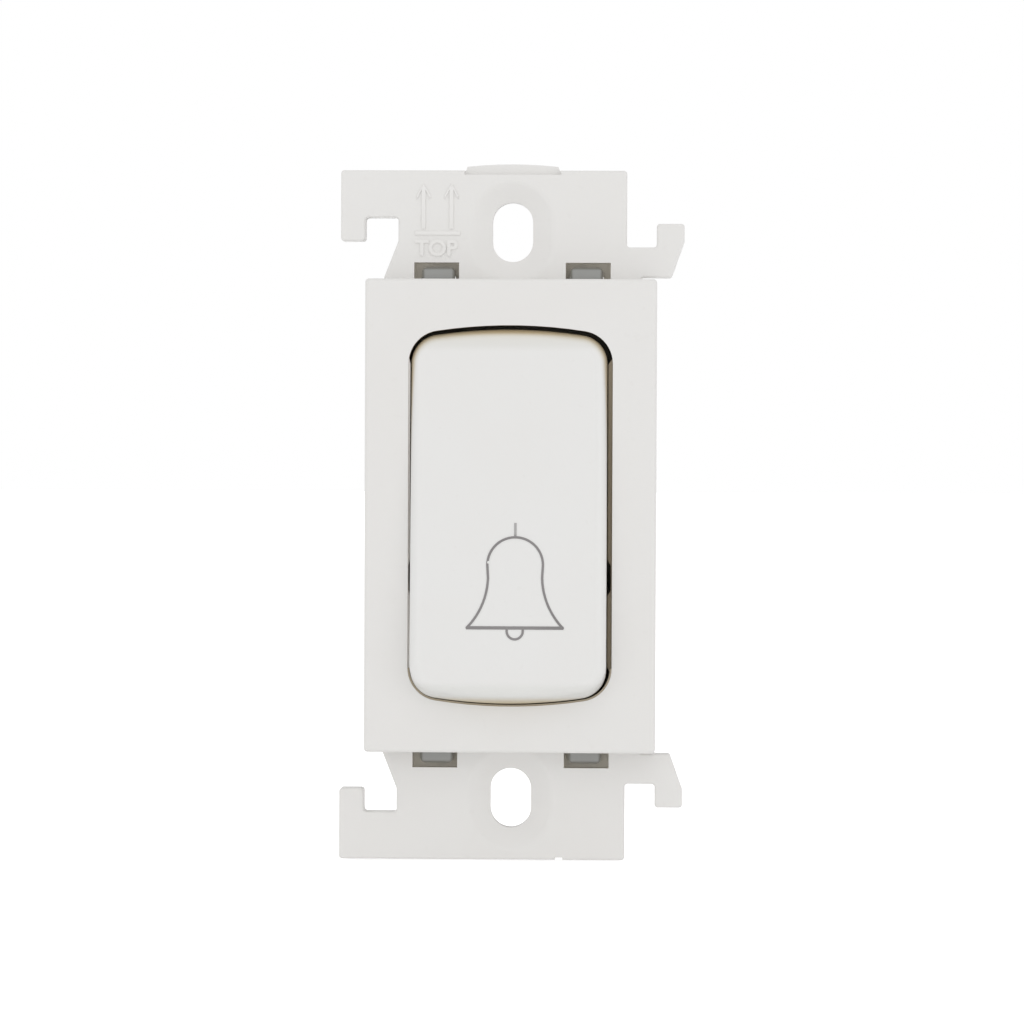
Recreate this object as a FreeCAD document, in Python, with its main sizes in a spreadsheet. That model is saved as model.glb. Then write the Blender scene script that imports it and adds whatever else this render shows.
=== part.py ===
"""Doorbell push button for a flush wall box: a rocker push in its moulded support frame.

Millimetres. +X is right, +Y into the wall, -Y towards the person, +Z up.
The origin lies midway between the two box screws, on the rear face of the support plate.
"""
import FreeCAD, Part
import math
import os
import re
import Sketcher
from FreeCAD import Placement, Rotation, Vector

# Driving dimensions: name, value, what it is
DIMENSIONS = [
    ("end_land", 1.15, "support plate beyond the dished rims, at its top and bottom edge"),
    ("side_land", 1.7, "support plate beyond the catch windows, at its plain side edge"),
    ("plate_thick", 2.6, "support plate thickness"),
    ("plate_corner", 0.35, "rounding of the plate's corners seen from the front"),
    ("plate_edge", 0.25, "rounding of the plate's front edges"),
    ("rail_broad", 2.2, "width of the side rails beside the hollow"),
    ("rail_sink", 0.3, "side rails set in from the wall, where the housing's flange lies"),
    ("rail_past", 0.3, "height of the side rails above the bezel"),
    ("hook_gap", 3.5, "width of the left hook's slot"),
    ("hook_arm", 2.6, "width of the left hook's arm"),
    ("hook_drop", 1.0, "left hook's lower end below the screw slot's centre"),
    ("hook_deep", 2.5, "depth of the hooks' slots"),
    ("socket_gap", 3.16, "width of the right socket's slot"),
    ("socket_drop", 0.6, "right socket's floor below the left hook's lower end"),
    ("socket_toe_in", 1.35, "lower corner of the right socket, inside its outer side"),
    ("lug_half_broad", 5.12, "half width of the top lug"),
    ("lug_rise", 0.42, "rise of the top lug above the plate's edge"),
    ("lug_crown", 0.26, "extra rise at the middle of the lug's arched top"),
    ("lug_setback", 0.7, "step of the lug behind the plate's front"),
    ("lug_lean", 0.3, "how far the lug's sides lean in"),
    ("lug_step", 0.45, "height of the step cut in the plate's front at the lug"),
    ("gate_notch", 0.25, "depth of the moulding notch in the lower edge"),
    ("bezel_side_land", 4.605, "raised bezel beside its opening"),
    ("bezel_end_land", 4.88, "raised bezel above and below its opening"),
    ("bezel_out", 7.0, "bezel front, measured from the wall"),
    ("bezel_wall", 1.6, "thickness of the bezel's front wall"),
    ("bezel_corner", 0.4, "rounding of the bezel's corners seen from the front"),
    ("bezel_edge", 0.42, "rounding of the bezel's front edge"),
    ("hollow_gap", 1.1, "gap beside the rocker in the hollow behind the bezel"),
    ("side_gap", 0.425, "gap beside the rocker in the bezel's opening"),
    ("end_gap", 0.74, "gap above and below the rocker in the bezel's opening"),
    ("end_radius", 51.0, "radius of the bowed ends of the opening"),
    ("aperture_corner", 3.45, "corner radius of the opening"),
    ("slot_off", 5.1, "centre of a screw slot beyond the end of the bezel"),
    ("slot_broad", 4.3, "width of a screw slot"),
    ("slot_long", 6.3, "length of a screw slot"),
    ("dish_out", 2.2, "width of the dished rim round a screw slot"),
    ("dish_deep", 1.0, "depth of the dished rim"),
    ("dish_edge", 1.4, "rounding of the dished rim"),
    ("window_in", 0.47, "catch window beyond a catch, at its inner side"),
    ("window_out", 0.83, "catch window beyond a catch, at its outer side"),
    ("window_past", 0.5, "catch window beyond the nose of a catch"),
    ("ledge_thick", 1.0, "thickness of the ledge that a catch holds"),
    ("catch_inner", 6.12, "centre to the inner side of a catch"),
    ("catch_broad", 3.45, "width of a catch"),
    ("catch_arm", 0.85, "thickness of a catch's arm"),
    ("catch_off", 1.05, "gap between the housing and a catch's arm"),
    ("catch_tall", 2.0, "height of a catch's head, from the inner face of its arm to its nose"),
    ("ledge_play", 0.25, "play between a catch's arm and its ledge"),
    ("catch_below", 0.3, "catch head below the plate's front"),
    ("catch_corner", 0.55, "rounding of a catch head's corners"),
    ("catch_root", 4.0, "depth at which a catch grows from the housing"),
    ("catch_root_thick", 1.6, "thickness of a catch's root"),
    ("hole_play", 0.15, "play of a catch in its hole"),
    ("fit_play", 0.05, "small play between seated faces"),
    ("screw_play", 0.15, "radial play of a cover screw in the cover"),
    ("grub_play", 0.03, "radial play of a terminal screw in its block"),
    ("peg_play", 0.25, "radial play of the return spring on its peg"),
    ("trunnion_end_play", 0.25, "gap between a trunnion's end and its bearing"),
    ("tilt", 4.5, "rocker's rest angle, in degrees, lower end out"),
    ("rocker_half_broad", 10.3, "half width of the rocker"),
    ("rocker_half_tall", 19.28, "half height of the rocker at its front face"),
    ("rocker_flare", 0.3, "how much further the rocker's upper end reaches at its skirt"),
    ("lower_flare", 1.4, "how much further the rocker's lower end would reach, if it leant all the way"),
    ("lower_reach", 0.65, "how much further the rocker's lower end reaches at its skirt"),
    ("rocker_shift", 0.15, "how far to the left the rocker rests, within its end play"),
    ("rocker_out", 5.1, "rocker's front face from its pivot"),
    ("skirt_back", 0.8, "rear edge of the rocker's skirt behind the pivot"),
    ("rocker_wall", 1.5, "wall thickness of the rocker"),
    ("rocker_end_extra", 1.08, "extra wall thickness at the rocker's ends"),
    ("rocker_corner", 3.0, "corner radius of the rocker"),
    ("rocker_edge", 1.2, "rounding of the rocker's front edge"),
    ("trunnion_radius", 1.5, "radius of the rocker's two trunnions"),
    ("trunnion_play", 0.05, "radial play of a trunnion in its bearing"),
    ("bearing_deep", 1.5, "depth of a trunnion's bearing in the side rail"),
    ("ear_radius", 2.2, "radius of the ear that carries a trunnion"),
    ("stop_gap", 0.05, "gap left when the rocker's skirt meets the cover"),
    ("mark_across", 0.77, "bell mark's centre, right of the rocker's centre"),
    ("mark_lean", 1.1, "bell mark's lean to the right, in degrees"),
    ("mark_down", 12.1, "bell mark's base line below the rocker's centre"),
    ("mark_stroke", 0.25, "stroke width of the bell mark"),
    ("mark_base_stroke", 0.34, "stroke width of the bell's base line"),
    ("mark_thick", 0.05, "thickness of the printed bell mark"),
    ("bell_half_broad", 5.02, "half width of the bell's mouth"),
    ("bell_waist", 2.83, "half width of the bell's waist"),
    ("bell_waist_up", 5.2, "height of the bell's waist above its mouth"),
    ("dome_radius", 2.91, "radius of the bell's dome"),
    ("dome_up", 6.58, "height of the dome's centre above the mouth"),
    ("stem_long", 1.5, "length of the stem above the dome"),
    ("clapper_radius", 0.84, "radius of the clapper below the mouth"),
    ("clapper_drop", 0.35, "straight drop of the clapper"),
    ("cover_thick", 1.0, "thickness of the contact cover"),
    ("cover_play", 0.12, "play of the cover in the frame's hollow"),
    ("housing_side_play", 0.2, "housing's side inside the frame's hollow"),
    ("housing_end_play", 0.1, "housing's end inside the frame's hollow"),
    ("housing_deep", 21.0, "rear face of the housing from the wall"),
    ("housing_wall", 1.4, "wall thickness of the housing"),
    ("flange_inset", 0.4, "edge of the housing's flange inside the rail's outer side"),
    ("flange_short", 1.0, "end of the housing's flange inside the housing's end"),
    ("flange_thick", 1.4, "thickness of the housing's flange"),
    ("press_off", 5.3, "plunger axis above the lower cover screw"),
    ("rib_half_broad", 2.5, "half width of the rocker's press rib"),
    ("rib_thick", 1.6, "thickness of the rocker's press rib"),
    ("press_gap", 0.05, "gap between press rib and plunger"),
    ("plunger_proud", 1.5, "plunger in front of the cover at rest"),
    ("plunger_half_broad", 3.0, "half width of the plunger"),
    ("plunger_half_tall", 2.7, "half height of the plunger"),
    ("plunger_play", 0.12, "play of the plunger in the cover"),
    ("plunger_back", 8.4, "rear end of the plunger at rest"),
    ("plunger_flange", 1.2, "how far the plunger's stop flange reaches out"),
    ("flange_deep", 1.2, "thickness of the plunger's stop flange"),
    ("flange_gap", 0.15, "gap between the stop flange and the cover"),
    ("window_front", 2.6, "front end of the plunger's window"),
    ("window_back", 7.4, "rear end of the plunger's window"),
    ("window_half_tall", 1.7, "half height of the plunger's window"),
    ("bridge_half_long", 6.2, "half length of the contact bridge"),
    ("bridge_tall", 3.2, "height of the contact bridge"),
    ("bridge_thick", 0.6, "thickness of the contact bridge"),
    ("contact_across", 4.8, "contacts from the centre line"),
    ("contact_radius", 1.1, "radius of a contact"),
    ("contact_thick", 0.8, "thickness of a contact"),
    ("contact_travel", 1.1, "travel of the bridge until it meets the fixed contacts"),
    ("contact_gap", 0.02, "gap left between closed contacts"),
    ("seat_gap", 0.02, "gap between faces that rest on each other"),
    ("strip_thick", 0.8, "thickness of a fixed strip"),
    ("strip_inner", 2.9, "centre to the inner side of a fixed strip"),
    ("strip_broad", 4.0, "width of a fixed strip"),
    ("strip_past", 2.2, "lower end of a fixed strip below the plunger axis"),
    ("block_side_play", 0.6, "gap between a terminal block and the housing's side wall"),
    ("block_post_gap", 1.0, "gap between a terminal block and the post of the upper cover screw"),
    ("block_low", 8.0, "lower end of a terminal block"),
    ("block_tall", 10.0, "height of a terminal block"),
    ("block_deep", 6.8, "depth of a terminal block"),
    ("wire_radius", 1.35, "radius of the bore for the bell wire"),
    ("wire_back", 3.65, "bore's axis behind the terminal block's front"),
    ("entry_play", 0.35, "wire entry in the housing, larger than the bore by this"),
    ("grub_radius", 1.6, "radius of a terminal screw"),
    ("grub_out", 1.2, "terminal screw standing out of its block"),
    ("access_play", 0.5, "screw hole in the housing, larger than the screw by this"),
    ("drive_slot", 0.5, "width of a screwdriver slot"),
    ("drive_deep", 0.6, "depth of a screwdriver slot"),
    ("return_radius", 2.2, "mean radius of the return spring"),
    ("return_wire", 0.25, "wire radius of the return spring"),
    ("return_seat", 15.5, "return spring's seat on the housing"),
    ("return_turns", 6.0, "turns of the return spring"),
    ("over_radius", 1.2, "mean radius of the overtravel spring"),
    ("over_wire", 0.17, "wire radius of the overtravel spring"),
    ("over_turns", 6.0, "turns of the overtravel spring"),
    ("peg_long", 1.2, "length of the peg inside the return spring"),
    ("upper_screw_gap", 1.8, "gap between the upper cover screw's head and the rocker's skirt"),
    ("lower_screw_gap", 0.5, "gap between the lower cover screw's head and the rocker's skirt"),
    ("post_radius", 2.2, "radius of the posts for the cover screws"),
    ("cover_screw_radius", 0.95, "radius of a cover screw"),
    ("cover_head_radius", 1.9, "radius of a cover screw's head"),
    ("cover_head_thick", 1.0, "thickness of a cover screw's head"),
    ("cover_screw_long", 6.0, "length of a cover screw under its head"),
]

# Sizes worked out from the driving dimensions
WORKED_OUT = {
    "rocker_rear_half": "rocker_half_tall + lower_reach",
    "rocker_inside": "rocker_half_tall - rocker_wall - rocker_end_extra",
    "upper_screw_up": "rocker_inside - cover_head_radius - upper_screw_gap",
    "lower_screw_down": "rocker_inside - cover_head_radius - lower_screw_gap",
    "press_down": "lower_screw_down - press_off",
    "strip_low": "press_down + strip_past",
    "pivot_out": "cover_thick + stop_gap + skirt_back * cos(tilt) + rocker_rear_half * sin(tilt)",
    "bezel_half_tall": "rocker_half_tall + end_gap + bezel_end_land",
    "slot_up": "bezel_half_tall + slot_off",
    "slot_straight": "(slot_long - slot_broad) / 2",
    "plate_half_tall": "slot_up + slot_long / 2 + dish_out + end_land",
    "plate_half_broad": "window_outer + side_land",
    "hook_inner": "plate_half_broad + hook_gap",
    "hook_reach": "hook_inner + hook_arm",
    "hook_foot": "slot_up - hook_drop",
    "hook_slot_top": "hook_foot + hook_deep",
    "socket_inner": "plate_half_broad + socket_gap",
    "socket_floor": "hook_foot - socket_drop",
    "socket_top": "socket_floor + hook_deep",
    "socket_toe": "hook_reach - socket_toe_in",
    "aperture_half_broad": "rocker_half_broad + side_gap",
    "aperture_half_tall": "rocker_half_tall + end_gap",
    "bezel_half_broad": "aperture_half_broad + bezel_side_land",
    "cavity_half_broad": "rocker_half_broad + hollow_gap",
    "cavity_half_tall": "bezel_half_tall - bezel_wall",
    "rail_half_broad": "cavity_half_broad + rail_broad",
    "rail_end": "bezel_half_tall + rail_past",
    "housing_half_broad": "cavity_half_broad - housing_side_play",
    "housing_half_tall": "cavity_half_tall - housing_end_play",
    "flange_half_broad": "rail_half_broad - flange_inset",
    "flange_half_tall": "housing_half_tall - flange_short",
    "catch_outer": "catch_inner + catch_broad",
    "catch_start": "housing_half_tall + catch_off",
    "catch_end": "catch_start + catch_tall",
    "ledge_end": "catch_start + catch_arm + ledge_play",
    "window_inner": "catch_inner - window_in",
    "window_outer": "catch_outer + window_out",
    "window_end": "catch_end + window_past",
    "plunger_front": "-cover_thick - plunger_proud",
    "rib_tip": "(plunger_front - press_gap + pivot_out + press_down * sin(tilt)) / cos(tilt)",
    "bridge_back": "window_back - seat_gap",
    "tip_back": "bridge_back + contact_thick",
    "fixed_front": "tip_back + contact_travel + contact_gap",
    "strip_front": "fixed_front + contact_thick",
    "strip_back": "strip_front + strip_thick",
    "block_front": "strip_back + seat_gap",
    "block_back": "block_front + block_deep",
    "block_top": "block_low + block_tall",
    "block_inner": "post_radius + block_post_gap",
    "block_broad": "housing_half_broad - housing_wall - block_side_play - block_inner",
    "block_middle": "block_inner + block_broad / 2",
    "wire_deep": "block_front + wire_back",
    "floor_front": "housing_deep - housing_wall",
    "grub_tip": "wire_deep + wire_radius + 0.1",
    "grub_back": "block_back + grub_out",
}

document = FreeCAD.newDocument("push_button")
sheet = document.addObject("Spreadsheet::Sheet", "Sizes")
for row, (alias, size, meaning) in enumerate(DIMENSIONS, start=1):
    sheet.set(f"A{row}", meaning)
    sheet.set(f"B{row}", str(size))
    sheet.setAlias(f"B{row}", alias)
document.recompute()
ALIASES = {alias for alias, size, meaning in DIMENSIONS}
PIECES = []


def bind(text):
    """Write a plain formula as an expression on the sheet's cells."""
    def spell(match):
        word = match.group(0)
        if word in WORKED_OUT:
            return "(" + bind(WORKED_OUT[word]) + ")"
        return "Sizes." + word if word in ALIASES else word
    return re.sub(r"[a-z][a-z_]+", spell, text)


def number(text):
    """Work out a plain formula."""
    return float(sheet.evalExpression(bind(text)))


def new_body(label):
    """Start a sub-part that is made of sketched features."""
    body = document.addObject("PartDesign::Body", label)
    body.Label = label
    PIECES.append(body)
    return body


def attach(body, name, plane, offset):
    """Put a new sketch on one of the body's own planes, moved along its normal."""
    sketch = body.newObject("Sketcher::SketchObject", name)
    own_plane = next(o for o in body.Origin.OriginFeatures if o.Role == plane + "_Plane")
    sketch.AttachmentSupport = [(own_plane, "")]
    sketch.MapMode = "FlatFace"
    sketch.setExpression("AttachmentOffset.Base.z", bind(offset))
    return sketch


def fix_point(sketch, name, geometry, vertex, across, up):
    """Tie a point of a sketch to two formulas; None leaves a direction free."""
    for kind, formula in (("DistanceX", across), ("DistanceY", up)):
        if formula is None:
            continue
        rule = Sketcher.Constraint(kind, -1, 1, geometry, vertex, number(formula))
        index = sketch.addConstraint(rule)
        sketch.renameConstraint(index, name + kind[-1])
        sketch.setExpression("Constraints." + name + kind[-1], bind(formula))


def outline(body, name, plane, offset, loops):
    """Sketch closed outlines, each given as its corners and the centres of its arcs."""
    sketch = attach(body, name, plane, offset)
    for place, (corners, centres) in enumerate(loops):
        draw_loop(sketch, f"loop{place}", corners, centres)
    return sketch


def draw_loop(sketch, name, corners, centres):
    """Draw one closed outline; a side with a centre is an anticlockwise arc."""
    first = sketch.GeometryCount
    spots = [(number(across), number(up)) for across, up in corners]
    count = len(spots)
    for side, (across, up) in enumerate(spots):
        next_across, next_up = spots[(side + 1) % count]
        if side in centres:
            middle_across, middle_up = (number(part) for part in centres[side])
            radius = math.hypot(across - middle_across, up - middle_up)
            circle = Part.Circle(Vector(middle_across, middle_up, 0), Vector(0, 0, 1), radius)
            start = math.atan2(up - middle_up, across - middle_across)
            end = math.atan2(next_up - middle_up, next_across - middle_across)
            sketch.addGeometry(Part.ArcOfCircle(circle, start, end), False)
        else:
            line = Part.LineSegment(Vector(across, up, 0), Vector(next_across, next_up, 0))
            sketch.addGeometry(line, False)
    for side in range(count):
        following = first + (side + 1) % count
        sketch.addConstraint(Sketcher.Constraint("Coincident", first + side, 2, following, 1))
    for side, (across, up) in enumerate(corners):
        fix_point(sketch, f"{name}corner{side}", first + side, 1, across, up)
    for side, (across, up) in centres.items():
        level = abs(spots[side][1] - spots[(side + 1) % count][1]) < 1e-6
        across, up = (None, up) if level else (across, None)
        fix_point(sketch, f"{name}centre{side}", first + side, 3, across, up)


def circles(body, name, plane, offset, middles, radius):
    """Sketch like circles about several middles."""
    sketch = attach(body, name, plane, offset)
    for place, (across, up) in enumerate(middles):
        spot = Vector(number(across), number(up), 0)
        sketch.addGeometry(Part.Circle(spot, Vector(0, 0, 1), number(radius)), False)
        fix_point(sketch, f"middle{place}", place, 3, across, up)
        index = sketch.addConstraint(Sketcher.Constraint("Radius", place, number(radius)))
        sketch.renameConstraint(index, f"round{place}")
        sketch.setExpression(f"Constraints.round{place}", bind(radius))
    return sketch


def start_plane(plane, low, high, cut):
    """Offset of the sketch from which a pad or pocket fills the span from low to high."""
    if plane == "XZ":
        return f"-({low})" if cut else f"-({high})"
    return high if cut else low


def extrude(body, name, sketch, low, high, cut):
    """Pad or pocket a sketch and see that it really adds or takes away."""
    before = body.Shape.Volume if body.Tip else 0.0
    feature = body.newObject("PartDesign::Pocket" if cut else "PartDesign::Pad", name)
    feature.Profile = sketch
    feature.setExpression("Length", bind(f"({high}) - ({low})"))
    sketch.Visibility = False
    document.recompute()
    change = body.Shape.Volume - before
    if (change > 0) == cut or abs(change) < 1e-9:
        raise RuntimeError(f"{body.Label} {name} changes nothing")
    return feature


def prisms(body, name, plane, loops, low, high, cut=False):
    """Straight-sided blocks, or hollows, across a plane."""
    offset = start_plane(plane, low, high, cut)
    sketch = outline(body, name + "_outline", plane, offset, loops)
    return extrude(body, name, sketch, low, high, cut)


def prism(body, name, plane, corners, low, high, cut=False, centres=None):
    """One straight-sided block, or hollow, across a plane."""
    return prisms(body, name, plane, [(corners, centres or {})], low, high, cut)


def rods(body, name, plane, middles, radius, low, high, cut=False):
    """Round bars, or round holes, across a plane."""
    offset = start_plane(plane, low, high, cut)
    sketch = circles(body, name + "_circles", plane, offset, middles, radius)
    return extrude(body, name, sketch, low, high, cut)


def span(low, high, flip):
    """A span of two formulas, or its mirror image."""
    return (f"-({high})", f"-({low})") if flip else (low, high)


def rectangle(left, right, low, high):
    """Corners of an upright rectangle, anticlockwise."""
    return [(left, low), (right, low), (right, high), (left, high)]


def round_edges(body, name, chosen, radius):
    """Round the edges of the body that the test picks."""
    base = body.Tip
    names = [f"Edge{i}" for i, edge in enumerate(base.Shape.Edges, start=1) if chosen(edge)]
    if not names:
        raise RuntimeError(f"{body.Label} {name} finds no edge")
    feature = body.newObject("PartDesign::Fillet", name)
    feature.Base = (base, names)
    feature.setExpression("Radius", bind(radius))
    document.recompute()
    return feature


def runs_along(edge, direction):
    """A straight edge along a direction."""
    if len(edge.Vertexes) != 2:
        return False
    step = edge.Vertexes[1].Point - edge.Vertexes[0].Point
    return step.Length > 1e-3 and abs(abs(step.dot(direction)) - edge.Length) < 1e-6


def lies_at(edge, depth):
    """An edge that lies flat at one depth from the wall."""
    box = edge.BoundBox
    return abs(box.YMin - depth) < 1e-4 and abs(box.YMax - depth) < 1e-4


def mirrored(corners):
    """Close an outline whose right-hand upper points run from the middle up and over."""
    lower = [(across, f"-({up})") for across, up in reversed(corners)]
    return corners + lower


def stadium(across, up, half_broad, straight):
    """Corners and arc centres of an upright slot with round ends."""
    left, right = f"{across} - ({half_broad})", f"{across} + {half_broad}"
    low, high = f"{up} - ({straight})", f"{up} + {straight}"
    return [(left, low), (right, low), (right, high), (left, high)], {0: (across, low), 2: (across, high)}


def bowed(half_broad, half_tall):
    """Corners and arc centres of a rectangle whose upper and lower ends bow outwards."""
    sag = f"(end_radius - sqrt(end_radius ^ 2 - ({half_broad}) ^ 2))"
    low, high = f"-({half_tall}) + {sag}", f"{half_tall} - {sag}"
    corners = rectangle(f"-({half_broad})", half_broad, low, high)
    return corners, {0: ("0", f"end_radius - ({half_tall})"), 2: ("0", f"{half_tall} - end_radius")}


# Front frame: support plate, hooks and raised bezel, one moulding
def front_frame():
    body = new_body("front_frame")
    upper = [
        ("rail_half_broad", "rail_end"),
        ("socket_toe", "rail_end"),
        ("hook_reach", "hook_foot"),
        ("hook_reach", "socket_top"),
        ("socket_inner", "socket_top"),
        ("socket_inner", "socket_floor"),
        ("plate_half_broad", "socket_floor"),
        ("plate_half_broad", "plate_half_tall"),
        ("-hook_reach", "plate_half_tall"),
        ("-hook_reach", "hook_foot"),
        ("-hook_inner", "hook_foot"),
        ("-hook_inner", "hook_slot_top"),
        ("-plate_half_broad", "hook_slot_top"),
        ("-plate_half_broad", "hook_foot"),
        ("-rail_half_broad", "rail_end"),
    ]
    prism(body, "plate", "XZ", mirrored(upper), "-plate_thick", "0")
    round_edges(body, "plate_corners", lambda e: runs_along(e, Vector(0, 1, 0)), "plate_corner")
    front = -number("plate_thick")
    round_edges(body, "plate_rim", lambda e: lies_at(e, front), "plate_edge")
    slots = [stadium("0", up, "slot_broad / 2", "slot_straight") for up in ("slot_up", "-slot_up")]
    prisms(body, "screw_slots", "XZ", slots, "-plate_thick", "0", cut=True)
    dish_rims(body)
    bezel = rectangle("-bezel_half_broad", "bezel_half_broad", "-bezel_half_tall", "bezel_half_tall")
    prism(body, "bezel", "XZ", bezel, "-bezel_out", "-plate_thick + plate_edge")
    bezel_side, bezel_end = number("bezel_half_broad"), number("bezel_half_tall")
    on_side = lambda e: abs(abs(e.BoundBox.XMin) - bezel_side) < 1e-4 and e.BoundBox.YMin < front - 1
    round_edges(
        body, "bezel_corners",
        lambda e: runs_along(e, Vector(0, 1, 0)) and on_side(e) and abs(e.BoundBox.ZMin) > bezel_end - 1,
        "bezel_corner")
    bezel_front = -number("bezel_out")
    round_edges(body, "bezel_rim", lambda e: lies_at(e, bezel_front), "bezel_edge")
    hollow = rectangle(
        "-cavity_half_broad", "cavity_half_broad", "-cavity_half_tall", "cavity_half_tall")
    prism(body, "hollow", "XZ", hollow, "-bezel_out + bezel_wall", "0", cut=True)
    sunk = rectangle("-rail_half_broad - 1", "rail_half_broad + 1",
                     "-flange_half_tall - fit_play", "flange_half_tall + fit_play")
    prism(body, "sunk_rails", "XZ", sunk, "-rail_sink", "0", cut=True)
    corners, centres = bowed("aperture_half_broad", "aperture_half_tall")
    prism(body, "aperture", "XZ", corners, "-bezel_out", "-bezel_out + bezel_wall", True, centres)
    opening = number("aperture_half_broad")
    round_edges(
        body, "aperture_corners",
        lambda e: runs_along(e, Vector(0, 1, 0)) and abs(abs(e.BoundBox.XMin) - opening) < 1e-4,
        "aperture_corner")
    catch_windows(body)
    top_lug(body)
    notch = rectangle("lug_half_broad - 0.4", "lug_half_broad + 0.4", "-plate_half_tall - 1",
                      "-plate_half_tall + gate_notch")
    prism(body, "moulding_notch", "XZ", notch, "-plate_thick", "0", cut=True)
    for side, turn in (("right", ""), ("left", "-")):
        bearing(body, side, turn)


def dish_rims(body):
    """Dish the front of both screw slots and round the rim of the dish."""
    base = body.Tip
    front = -number("plate_thick")
    half_broad, half_long = number("slot_broad / 2"), number("slot_long / 2")
    slot_up = number("slot_up")

    def around_slot(edge, margin):
        box = edge.BoundBox
        near = abs(box.XMin) < half_broad + margin and abs(box.XMax) < half_broad + margin
        return lies_at(edge, front) and near and abs(abs(box.Center.z) - slot_up) < half_long + margin

    names = [f"Edge{i}" for i, e in enumerate(base.Shape.Edges, start=1) if around_slot(e, 0.01)]
    dish = body.newObject("PartDesign::Chamfer", "dish")
    dish.Base = (base, names)
    dish.ChamferType = "Two distances"
    dish.setExpression("Size", bind("dish_deep"))
    dish.setExpression("Size2", bind("dish_out"))
    document.recompute()
    reach = number("dish_out") + 0.01
    rims = [e for e in dish.Shape.Edges if around_slot(e, reach)]
    if max(e.BoundBox.XMax for e in rims) < half_broad + reach - 0.02:
        dish.FlipDirection = True
        document.recompute()
    round_edges(body, "dish_rim", lambda e: around_slot(e, reach), "dish_edge")


def catch_windows(body):
    """Four windows in the plate, each with a ledge that a catch of the housing holds."""
    inner, outer = "window_inner", "window_outer"
    start, end = "catch_start - hole_play", "window_end"
    front = [(inner, start), (outer, start), (outer, end), (inner, end)]
    prisms(body, "windows", "XZ", in_four_corners(front), "-plate_thick", "-ledge_thick", cut=True)
    near, far = "catch_inner - fit_play", "catch_outer + fit_play"
    rear = [(near, start), (far, start), (far, "ledge_end"), (near, "ledge_end")]
    prisms(body, "arm_holes", "XZ", in_four_corners(rear), "-ledge_thick", "0", cut=True)


def in_four_corners(corners):
    """The same straight-sided outline, mirrored left to right and top to bottom."""
    loops = []
    for turn in ("", "-"):
        for sign in ("", "-"):
            loops.append(([(f"{turn}({across})", f"{sign}({up})") for across, up in corners], {}))
    return loops


def top_lug(body):
    """The set-back lug on the plate's upper edge, with an arched top."""
    step = rectangle("-lug_half_broad", "lug_half_broad", "plate_half_tall - lug_step",
                     "plate_half_tall + 1")
    prism(body, "lug_step", "XZ", step, "-plate_thick - 1", "-plate_thick + lug_setback", cut=True)
    top = "plate_half_tall + lug_rise"
    bow = "(((lug_half_broad - lug_lean) ^ 2 + lug_crown ^ 2) / (2 * lug_crown))"
    foot = "plate_half_tall - lug_step"
    corners = [("-lug_half_broad", foot), ("lug_half_broad", foot),
               ("lug_half_broad - lug_lean", top), ("-lug_half_broad + lug_lean", top)]
    prism(body, "lug", "XZ", corners, "-plate_thick + lug_setback", "0",
          centres={2: ("0", f"{top} + lug_crown - {bow}")})


def bearing(body, side, turn):
    """A blind slot in the side rail, open to the rear, in which a trunnion turns."""
    radius = "trunnion_radius + trunnion_play"
    low, high = span("cavity_half_broad - 0.2", "cavity_half_broad + bearing_deep", turn)
    corners = [("-pivot_out", f"-({radius})"), ("0", f"-({radius})"),
               ("0", radius), ("-pivot_out", radius)]
    prism(body, f"bearing_{side}", "YZ", corners, low, high, True, {3: ("-pivot_out", "0")})


# Rocker: hollow, on two trunnions, modelled about its pivot and then tilted
def rocker():
    body = new_body("rocker")
    body.BaseFeature = rocker_block()
    document.recompute()
    side = number("rocker_half_broad")

    def long_corner(edge):
        box = edge.BoundBox
        at_side = abs(abs(box.XMin) - side) < 1e-3 and box.XLength < 1e-3
        return at_side and box.YLength > 1 and box.ZLength < 3

    round_edges(body, "corners", long_corner, "rocker_corner")
    front = -number("rocker_out")
    round_edges(body, "front_rim", lambda e: lies_at(e, front), "rocker_edge")
    hollow = rectangle("-rocker_half_broad + rocker_wall", "rocker_half_broad - rocker_wall",
                       "-rocker_inside", "rocker_inside")
    prism(body, "hollow", "XZ", hollow, "-rocker_out + rocker_wall", "skirt_back", cut=True)
    for name, turn in (("right", ""), ("left", "-")):
        ear = span("rocker_half_broad - rocker_wall", "rocker_half_broad", turn)
        pin = span("rocker_half_broad - 0.5", "cavity_half_broad + bearing_deep - trunnion_end_play", turn)
        rods(body, f"ear_{name}", "YZ", [("0", "0")], "ear_radius", *ear)
        rods(body, f"trunnion_{name}", "YZ", [("0", "0")], "trunnion_radius", *pin)
    rib = rectangle("-rib_half_broad", "rib_half_broad", "-press_down - rib_thick / 2",
                    "-press_down + rib_thick / 2")
    prism(body, "press_rib", "XZ", rib, "-rocker_out + rocker_wall / 2", "rib_tip")
    tip = number("rib_tip")
    round_edges(
        body, "press_rib_tip", lambda e: lies_at(e, tip) and e.BoundBox.XLength > 1,
        "rib_thick * 0.47")
    stiffener = rectangle("-rocker_half_broad + rocker_wall / 2", "rocker_half_broad - rocker_wall / 2",
                          "press_down - rib_thick / 2", "press_down + rib_thick / 2")
    prism(body, "stiffener", "XZ", stiffener, "-rocker_out + rocker_wall / 2", "-skirt_back")
    place_on_pivot(body)


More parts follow.
